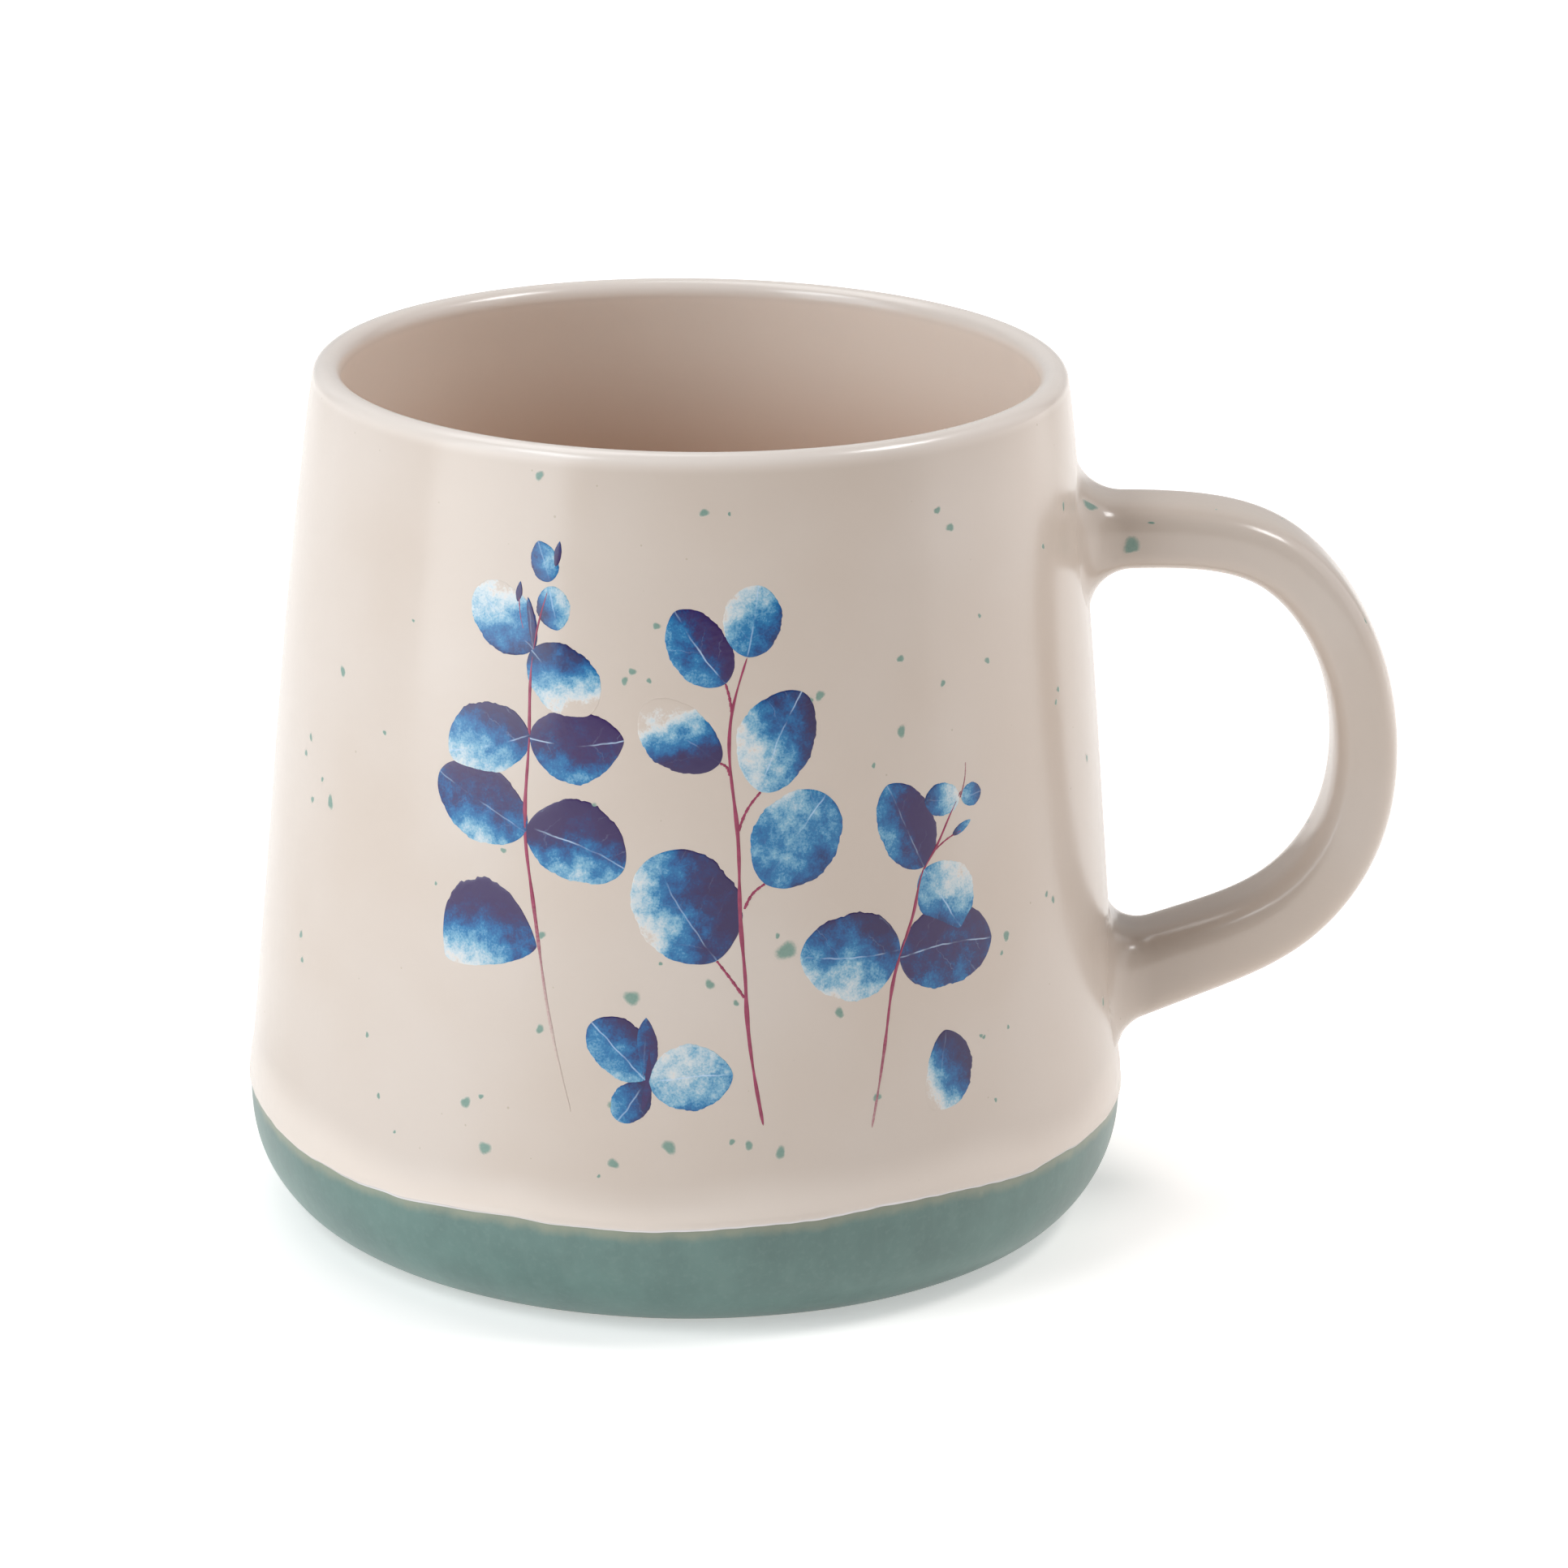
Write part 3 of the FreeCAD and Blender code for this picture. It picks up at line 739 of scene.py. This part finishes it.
def fillet(point, facing):
    """Point moved to round the corner between the strap and the wall, by the rule in strap_point.

    The radius is smaller on the underside of the lower root."""
    radial = point * (1, 1, 0) / np.hypot(point[..., 0], point[..., 1])[..., None]
    wall_normal = radial + (0, 0, ROOT_LEAN)
    wall_normal /= np.linalg.norm(wall_normal, axis=-1)[..., None]
    gap = off_wall(point)
    below = np.clip(-facing[..., 2], 0, 1) * smoothstep(-60, -40, -point[..., 2])
    radius = ROOT_FILLET - UNDERSIDE_TIGHTER * below
    near = 1 - np.clip(gap / radius, 0, 1)
    spread = radius * (1 - np.sqrt(1 - near**2))
    slide = facing - np.sum(facing * wall_normal, -1)[..., None] * wall_normal
    slide /= np.maximum(np.linalg.norm(slide, axis=-1), 1e-6)[..., None]
    moved = point + slide * spread[..., None]
    drift = off_wall(moved) - gap + ROOT_SINK * near
    return moved - radial * drift[..., None]


def sealed(points):
    """Closed skin over rows of sections, with the middle of each end section as its pole."""
    ends = [np.repeat(points[k].mean(0)[None, None], points.shape[1], 1) for k in (0, -1)]
    return shell(np.concatenate([ends[0], points, ends[1]]), True)


def strap_skin(lift, columns):
    """The whole strap as one closed skin: rows bunch near the two roots, where the fillets curl."""
    first, last = strap_frame()[3:]
    reach = 1.5 * ROOT_FILLET
    curl = reach * (1 - np.sin(np.linspace(math.pi / 2, 0, 34)))
    middle = np.linspace(first + reach, last - reach, 120)[1:-1]
    upper_root = [[first - 1.5], first - 0.8 + curl]
    lower_root = [last + 0.8 - curl[::-1], [last + 1.5]]
    distance = np.concatenate([*upper_root, middle, *lower_root])
    angle = np.linspace(0, TAU, columns, endpoint=False)
    return sealed(strap_point(distance[:, None], angle[None, :], lift))


def slip_collar(start, end):
    """A short collar of slip round the clay strap where it is stuck to the wall, under the coat."""
    distance = np.linspace(start, end, 40)[:, None]
    angle = np.linspace(0, TAU, 96, endpoint=False)[None, :]
    return sealed(strap_point(distance, angle, -SLIP_INSET))


# ---------------------------------------------------------------- the print

LEAF_ROWS = 60
LEAF_COLUMNS = 48
BASE_POWER = 0.55
STEM_WIDTH_DIVISOR = 2.3

# A leaf's ragged edge: (share of its width, waves along it, phase step from one seed to the next)
LEAF_RAGS = [(0.025, 9, 1), (0.016, 23, 3), (0.01, 61, 5), (0.008, 97, 2)]


def print_point(flat, lift):
    """Flat design point (distance round, height) on the wall's cream face."""
    return wall_point(flat[..., 0] / PRINT_RADIUS, flat[..., 1], lift)


def film_lift(angle):
    """Thickness of a fired film round its section: a low crown in front, and buried behind."""
    s = np.sin(angle)
    return np.where(s > 0, -FILM_BED + FILM * np.sqrt(np.abs(s)), -FILM_BED - FILM_BACK * np.abs(s))


def leaf(base, tip, left, right, tone, fall, aim, violet=0.5, vein=1.0, bend=0.0, blunt=0.6, seed=0):
    """A painted leaf from base to tip.

    Each side's half width is left or right times t^BASE_POWER (1 - t)^blunt, scaled to reach 1, and
    the midrib bows by bend. The tone falls by fall towards the direction aim, in degrees anticlockwise
    from the right of the flat design, and gathers a little at the edge."""
    t = np.linspace(0, 1, LEAF_ROWS)[:, None]
    angle = np.linspace(0, TAU, LEAF_COLUMNS, endpoint=False)[None, :]
    base, tip = np.array(base, float), np.array(tip, float)
    along = tip - base
    length = math.hypot(*along)
    side = np.array([-along[1], along[0]]) / length
    eased = 0.5 - 0.5 * np.cos(math.pi * t)
    peak = BASE_POWER / (BASE_POWER + blunt)
    form = eased**BASE_POWER * (1 - eased) ** blunt / (peak**BASE_POWER * (1 - peak) ** blunt)
    ragged = 1 + sum(a * np.sin(n * eased + k * seed) for a, n, k in LEAF_RAGS)
    across = np.cos(angle) * form * ragged
    reach = np.where(across > 0, left, right) * across
    rib = bend * np.sin(math.pi * eased)
    flat = base + along * eased[..., None] + side * (reach + rib)[..., None]
    centre = (base + tip) / 2 + side * (left - right) / 2
    heading = np.array([math.cos(math.radians(aim)), math.sin(math.radians(aim))])
    span = max(length, left + right) / 2
    shade = tone - 1.5 * fall * ((flat - centre) @ heading) / span
    shade = shade + 0.1 * np.abs(np.cos(angle)) ** 10 * smoothstep(0.1, 0.4, shade)
    fields = {
        "tone": shade, "along": eased * length, "across": reach, "seed": float(seed),
        "violet": violet, "vein": vein, "stem": 0.0, "fade": 1.0,
    }
    return shell(print_point(flat, film_lift(angle)), True, fields)


def stem(points, widths, fades, seed=0):
    """A thin painted line along a smooth curve, with a hand's wobble in its width."""
    rows = 20 * len(points)
    line = smooth_line(points, rows)
    tangent = np.gradient(line, axis=0)
    tangent /= np.linalg.norm(tangent, axis=1)[:, None]
    side = np.stack([-tangent[:, 1], tangent[:, 0]], -1)[:, None]
    t = np.linspace(0, 1, rows)[:, None]
    half = np.interp(t, np.linspace(0, 1, len(widths)), widths) / STEM_WIDTH_DIVISOR
    wobble = 1 + 0.18 * np.sin(31 * t + seed) + 0.12 * np.sin(77 * t)
    half = half * wobble * np.minimum(1, 40 * t * (1 - t)) ** 0.5
    angle = np.linspace(0, TAU, 10, endpoint=False)[None, :]
    flat = line[:, None] + side * (half * np.cos(angle))[..., None]
    fields = {
        "tone": 0.8, "along": 0.0, "across": 9.0, "seed": float(seed),
        "violet": 1.0, "vein": 0.0, "stem": 1.0, "fade": np.interp(t, np.linspace(0, 1, len(fades)), fades),
    }
    return shell(print_point(flat, film_lift(angle)), True, fields)


# The sprigs, in flat design millimetres. A leaf's numbers are its base, tip, left and right half
# widths, tone, fall, aim, violet, vein, bend, blunt and seed.

def tall_left_sprig():
    """Paired round leaves up a nearly straight stem, small at the top."""
    return [
        stem([(-15.8, 83.5), (-16.9, 79.4), (-17.6, 71.6), (-17.5, 67.2), (-17.6, 56.6), (-16.7, 50.5),
              (-15.6, 43.9), (-14.5, 37.5), (-11.7, 26.1)],
             [0.25, 0.4, 0.5, 0.4, 0.3], [1, 1, 1, 0.4, 0.02], 1),
        stem([(-19.4, 82.2), (-18.9, 79.2), (-17.6, 76.5)], [0.2, 0.3], [1, 1], 2),
        leaf((-15.8, 83.9), (-17.4, 88.1), 1.6, 1.7, 0.62, 0.2, 0, 0.4, 0.4, 0, 0.7, 1),
        leaf((-15.2, 85.6), (-14.8, 88.3), 0.45, 0.45, 0.85, 0.1, 90, 0.8, 0, 0, 0.8, 2),
        leaf((-15.8, 83.4), (-14.6, 78.8), 1.9, 2.0, 0.5, 0.3, 20, 0.2, 0.6, 0, 0.6, 3),
        leaf((-19.5, 81.4), (-19.3, 83.6), 0.4, 0.4, 0.8, 0.1, 90, 0.8, 0, 0, 0.8, 4),
        leaf((-17.4, 76.5), (-24.7, 82.3), 3.4, 3.4, 0.32, 0.35, 120, 0.2, 0.5, 0, 0.5, 5),
        leaf((-17.4, 76.5), (-18.3, 82.0), 0.5, 0.7, 0.85, 0.1, 90, 0.8, 0.2, 0, 0.8, 6),
        leaf((-17.6, 76.4), (-10.3, 70.4), 3.8, 3.4, 0.34, -0.45, 100, 0.2, 0.6, 0, 0.5, 7),
        leaf((-17.4, 67.2), (-27.2, 64.0), 3.0, 4.9, 0.5, -0.4, 80, 0.6, 1.0, 0.3, 0.55, 8),
        leaf((-17.4, 66.9), (-6.9, 67.4), 3.8, 4.2, 0.82, -0.3, 80, 1.0, 1.0, -0.6, 0.65, 9),
        leaf((-17.5, 56.6), (-28.3, 61.6), 4.2, 4.0, 0.66, -0.4, 80, 0.8, 0.4, 0, 0.55, 10),
        leaf((-17.4, 57.2), (-6.6, 53.6), 4.8, 4.1, 0.7, -0.4, 90, 0.8, 1.0, 0.5, 0.55, 11),
        leaf((-15.9, 44.2), (-26.6, 41.6), 1.6, 8.2, 0.72, -0.45, 80, 0.8, 0.1, 0, 0.5, 12),
    ]


def tall_centre_sprig():
    """Big round leaves on short twigs off a slender stem."""
    twigs = [
        [(4.0, 73.8), (4.4, 72.4), (4.7, 70.6)], [(3.4, 65.2), (4.0, 64.9), (4.5, 63.8)],
        [(7.8, 62.0), (6.4, 60.2), (5.3, 57.5)], [(8.2, 51.9), (7.0, 51.0), (6.0, 49.2)],
        [(3.1, 43.6), (4.4, 41.8), (6.0, 39.4)],
    ]
    return [
        stem([(6.4, 76.6), (5.4, 73.5), (4.7, 70.6), (4.4, 66.6), (4.8, 62.0), (5.3, 57.5), (5.6, 47.7),
              (6.1, 41.2), (6.2, 38.5), (7.9, 25.1)], [0.3, 0.45, 0.5, 0.5, 0.4], [1, 1, 1, 1, 0.8], 3),
        *[stem(points, [0.3, 0.4], [1, 1], 4 + k) for k, points in enumerate(twigs)],
        leaf((4.0, 73.8), (-1.6, 81.5), 3.2, 3.4, 0.66, -0.35, 30, 0.9, 0.9, 0.3, 0.6, 13),
        leaf((6.4, 76.6), (7.8, 84.2), 3.4, 3.2, 0.34, 0.25, 140, 0.1, 0.6, 0, 0.55, 14),
        leaf((3.4, 65.2), (-4.8, 71.4), 4.0, 3.0, 0.42, -0.6, -70, 0.5, 0.3, 0, 0.5, 15),
        leaf((7.8, 62.0), (12.4, 72.6), 4.5, 3.9, 0.5, -0.35, 10, 0.3, 0.9, 0.4, 0.55, 16),
        leaf((8.2, 51.9), (15.0, 61.2), 4.6, 4.9, 0.46, 0.15, 120, 0.1, 0.9, 0.2, 0.5, 17),
        leaf((3.1, 43.6), (-3.6, 55.0), 5.0, 6.2, 0.56, -0.45, 10, 0.5, 0.5, 0.3, 0.5, 18),
    ]


def short_right_sprig():
    """A leaning stem with buds at its top and a broad pair of leaves low down."""
    return [
        stem([(31.8, 59.2), (30.0, 56.6), (27.8, 53.2), (26.4, 51.4), (25.1, 47.3), (23.4, 43.0),
              (22.3, 39.7), (21.4, 34.6), (19.4, 23.6)],
             [0.25, 0.35, 0.45, 0.4, 0.3], [1, 1, 1, 0.7, 0.45], 9),
        stem([(31.6, 58.4), (32.4, 60.4), (32.6, 62.2)], [0.2, 0.15], [0.7, 0.4], 10),
        stem([(27.8, 53.2), (29.6, 54.2), (31.6, 54.8)], [0.25, 0.2], [1, 0.8], 11),
        leaf((26.4, 51.7), (22.2, 61.4), 3.3, 3.6, 0.72, -0.3, 10, 0.9, 0.4, 0, 0.6, 19),
        leaf((31.5, 58.4), (26.8, 58.9), 1.8, 1.9, 0.4, 0.2, 0, 0.0, 0.3, 0, 0.55, 20),
        leaf((31.8, 58.4), (34.7, 58.6), 1.3, 1.3, 0.4, 0.2, 180, 0.0, 0.3, 0, 0.55, 21),
        leaf((30.4, 54.5), (33.0, 55.7), 0.5, 0.45, 0.55, 0.2, 0, 0.3, 0, 0, 0.7, 22),
        leaf((26.4, 51.4), (31.0, 44.1), 4.4, 2.9, 0.38, 0.25, 60, 0.1, 0.9, 0, 0.5, 23),
        leaf((23.2, 43.0), (11.9, 43.6), 4.8, 5.0, 0.5, -0.35, 60, 0.4, 0.9, 0.4, 0.6, 24),
        leaf((23.1, 42.2), (35.4, 42.0), 4.6, 4.8, 0.78, -0.25, 90, 0.8, 0.9, 0.5, 0.6, 25),
    ]


def fallen_cluster():
    """Three leaves and a bud lying round a short dark stalk."""
    return [
        leaf((-4.1, 30.3), (-9.7, 36.4), 2.6, 3.3, 0.66, -0.3, 60, 0.6, 0.8, 0, 0.5, 26),
        leaf((-4.3, 30.6), (-4.1, 37.2), 1.2, 1.4, 0.66, -0.4, 0, 0.8, 0.2, 0, 0.8, 27),
        leaf((-3.7, 30.1), (4.8, 31.0), 3.6, 3.7, 0.28, 0.12, 90, 0.0, 1.0, 0.2, 0.6, 28),
        leaf((-4.1, 30.0), (-6.8, 25.6), 1.9, 2.0, 0.6, 0.2, 200, 0.3, 0.6, 0, 0.5, 29),
        leaf((-4.3, 27.0), (-3.7, 33.6), 0.6, 0.7, 0.92, 0.0, 90, 1.0, 0.0, 0, 0.7, 30),
    ]


def single_leaf():
    """A lone kidney-shaped leaf."""
    return [leaf((28.6, 33.0), (27.0, 24.2), 4.2, 1.8, 0.55, -0.5, 30, 0.4, 0.2, 0, 0.45, 31)]


# ---------------------------------------------------------------- speckles

# Large front specks as (degrees round from the middle of the front, height, radius before spreading)
FRONT_SPECKLES = [
    (-22, 95, 0.45), (2, 92, 0.45), (40, 88, 0.48), (-56, 69, 0.5), (-57, 54, 0.6), (30, 67, 0.55),
    (18, 72, 0.52), (13, 44.4, 1.0), (-7, 39.3, 0.74), (3, 41, 0.46), (20, 37, 0.52), (47, 41.5, 0.55),
    (-19, 35, 0.46),
    (-29, 25.5, 0.56), (-26, 20.8, 0.65), (-9, 20.8, 0.55), (-2, 22.9, 0.74), (8, 23, 0.46), (12, 22, 0.55),
    (28, 19, 0.46), (25, 27, 0.46), (-9, 27.3, 0.6), (73, 56, 0.4), (74, 27, 0.4),
]
# Strap specks as (distance from the upper root, degrees round the section, radius)
STRAP_SPECKLES = [
    (0.6, -48, 0.85), (4.8, -92, 1.0), (7, -66, 0.45), (33, -35, 0.45), (14, -20, 0.2), (21, 5, 0.2),
    (52, 10, 0.6), (60, 170, 0.4), (75, -30, 0.3), (88, 60, 0.5), (97, 175, 0.35), (105, -60, 0.4),
]
SPECKLE_SPREAD = 1.32


def speckle(place_point, size, long, seed):
    """A low, slightly lopsided drop: a lens on the surface that place_point gives."""
    angle = np.linspace(0, TAU, 18, endpoint=False)[None, :]
    depth = np.array([1.0, 0.85, 0.5, 0.0, -1.0])[:, None]
    ring = np.array([0.0, 0.55, 0.86, 1.0, 0.0])[:, None]
    lump = 1 + 0.16 * np.sin(2 * angle + seed) + 0.1 * np.sin(3 * angle + 2.3 * seed)
    u = size * ring * lump * np.cos(angle)
    v = size * ring * lump * long * np.sin(angle)
    lift = np.where(depth > 0, 0.02 * depth, 0.15 * depth) - 0.004
    return shell(place_point(u, v, lift + 0 * u), True, {"centre": 1 - ring})


def wall_speckles():
    """The front's own large specks, a seeded scatter behind, and small ones over the front."""
    dice = np.random.default_rng(8)
    behind = [
        (dice.uniform(82, 275), dice.uniform(19, 94), 0.18 + 0.55 * dice.random() ** 2.2)
        for _ in range(95)
    ]
    small = [(dice.uniform(-72, 72), dice.uniform(19, 94), dice.uniform(0.18, 0.42)) for _ in range(58)]
    specks = []
    for k, (degrees, height, size) in enumerate(FRONT_SPECKLES + behind + small):
        under_handle = 80 < degrees < 100 and 14 < height < 90
        if under_handle:
            continue
        centre = math.radians(degrees)
        radius = float(wall_radius(height))
        specks.append(speckle(
            lambda u, v, lift: wall_point(centre + u / radius, height + v, lift),
            SPECKLE_SPREAD * size, 1.06 + 0.12 * math.sin(5.0 * k), k))
    return specks


def strap_specks():
    """A few specks on the strap."""
    first = strap_frame()[3]
    specks = []
    for k, (distance, degrees, size) in enumerate(STRAP_SPECKLES):
        start = math.radians(degrees)
        specks.append(speckle(
            lambda u, v, lift: strap_point(first + distance + u, start + v / STRAP_MEAN_RADIUS, lift),
            size, 0.7, k))
    return specks


# ---------------------------------------------------------------- stage, lights and camera

def make_stage():
    """A wide pale floor under the foot, which glows more away from the mug as a lit sweep does."""
    half = 3.0
    mesh = bpy.data.meshes.new("floor")
    corners = [(-half, -half, 0), (half, -half, 0), (half, half, 0), (-half, half, 0)]
    mesh.from_pydata(corners, [], [(0, 1, 2, 3)])
    finish = Finish("pale_floor")
    paper = finish.mix(finish.noise(40, 2), (0.91, 0.87, 0.83, 1), (0.93, 0.89, 0.85, 1))
    finish.finish(paper, 0.7)
    away = Level(finish, finish.add("ShaderNodeVectorMath", {"operation": "LENGTH"},
                                    {0: finish.position}).outputs["Value"])
    glow = finish.mix(finish.step(60, 500, away), (0.4, 0.4, 0.4, 1), (0.62, 0.62, 0.62, 1))
    finish.feed(finish.shader.inputs["Emission Color"], glow)
    finish.shader.inputs["Emission Strength"].default_value = 1.0
    mesh.materials.append(finish.material)
    floor = bpy.data.objects.new("floor", mesh)
    bpy.context.scene.collection.objects.link(floor)


def softbox(name, centre, facing, width, height, brightness, colour):
    """A rectangular soft light of an even brightness, facing along a vector."""
    data = bpy.data.lights.new(name, "AREA")
    data.shape = "RECTANGLE"
    data.size, data.size_y = width, height
    data.energy = brightness * width * height * math.pi
    data.color = colour
    light = bpy.data.objects.new(name, data)
    aimed = (-Vector(facing)).to_track_quat("Z", "Y").to_matrix().to_4x4()
    light.matrix_world = Matrix.Translation(centre) @ aimed
    light.visible_camera = False
    bpy.context.scene.collection.objects.link(light)


def make_lights():
    """Dim white surroundings, with three soft lights on the left, two on the right, one above and
    one behind."""
    world = bpy.data.worlds.new("studio")
    world.use_nodes = True
    world.node_tree.nodes["Background"].inputs["Color"].default_value = (1, 1, 1, 1)
    world.node_tree.nodes["Background"].inputs["Strength"].default_value = 0.13
    bpy.context.scene.world = world
    cool = (0.94, 1.01, 1.07)
    softbox("top_back_box", (-0.2, 0.25, 0.75), (0.3, -0.3, -1), 0.5, 0.4, 2.75, (0.98, 1.0, 1.01))
    softbox("low_left_box", (-0.42, -0.35, 0.45), (1, 0, 0), 0.5, 0.9, 2.7, cool)
    softbox("high_left_box", (-0.45, -0.35, 0.75), (1, 0.2, -0.6), 0.3, 0.25, 5.2, cool)
    softbox("left_strip", (-0.42, -0.1, 0.1), (1, 0, 0), 0.9, 0.2, 0.26, (0.85, 1.0, 1.15))
    softbox("right_box", (0.45, 0.1, 0.35), (-1, 0, 0), 0.55, 0.7, 0.9, (1, 1, 1.02))
    softbox("high_right_box", (0.5, 0.0, 0.75), (-1, 0, -0.9), 0.25, 0.2, 15, (1, 1, 1.01))
    softbox("back_box", (0, 0.8, 0.5), (0, -1, -0.2), 1.4, 0.9, 0.42, (1, 1, 1))


def make_camera():
    """Long lens, a little above the rim, rolled slightly."""
    data = bpy.data.cameras.new("camera")
    data.lens = LENS
    camera = bpy.data.objects.new("camera", data)
    towards = Vector((0, -math.cos(CAMERA_ELEVATION), math.sin(CAMERA_ELEVATION)))
    eye = Vector(MIDDLE) + CAMERA_DISTANCE * towards
    back = (eye - Vector(AIM)).normalized()
    turned_by = back.to_track_quat("Z", "Y").to_matrix().to_4x4()
    camera.matrix_world = Matrix.Translation(eye * MM) @ turned_by @ Matrix.Rotation(CAMERA_ROLL, 4, "Z")
    bpy.context.scene.collection.objects.link(camera)
    bpy.context.scene.camera = camera
    bpy.context.scene.view_settings.view_transform = "Standard"


def main():
    cream, teal, clay = make_cream(), make_teal(), make_clay()
    painted_depth_shading, speck, ink = make_inside_cream(), make_speckle(), make_print()
    make_piece("cream_coat_outside", [cream_outside()], cream, ["cream_glaze_outside"])
    make_piece("cream_coat_inside", [cream_inside()], painted_depth_shading, ["cream_glaze_inside"])
    first, last = strap_frame()[3:]
    make_piece("cream_coat_handle", [strap_skin(0, 96)], cream, ["cream_glaze_handle"])
    make_piece("pulled_clay_strap", [strap_skin(-GLAZE, 48)], clay, ["clay_handle"])
    make_piece("upper_slip_collar", [slip_collar(first - 1, first + 3)], clay,
               ["upper_handle_slip"])
    make_piece("lower_slip_collar", [slip_collar(last - 3, last + 1)], clay,
               ["lower_handle_slip"])
    make_piece("teal_dip", [teal_base()], teal, ["teal_glaze_base"])
    make_piece("foot_glaze", [recess_glaze()], teal, ["foot_recess_glaze"])
    make_piece("turned_clay", [clay_core()], clay, ["clay_body"])
    make_piece("wall_specks", wall_speckles() + strap_specks(), speck, ["teal_speckles"])
    make_piece("painted_left_sprig", tall_left_sprig(), ink, ["tall_left_sprig"])
    make_piece("painted_centre_sprig", tall_centre_sprig(), ink, ["tall_centre_sprig"])
    make_piece("painted_right_sprig", short_right_sprig(), ink, ["short_right_sprig"])
    make_piece("painted_cluster", fallen_cluster(), ink, ["fallen_leaf_cluster"])
    make_piece("painted_single_leaf", single_leaf(), ink, ["single_fallen_leaf"])
    make_stage()
    make_lights()
    make_camera()


main()
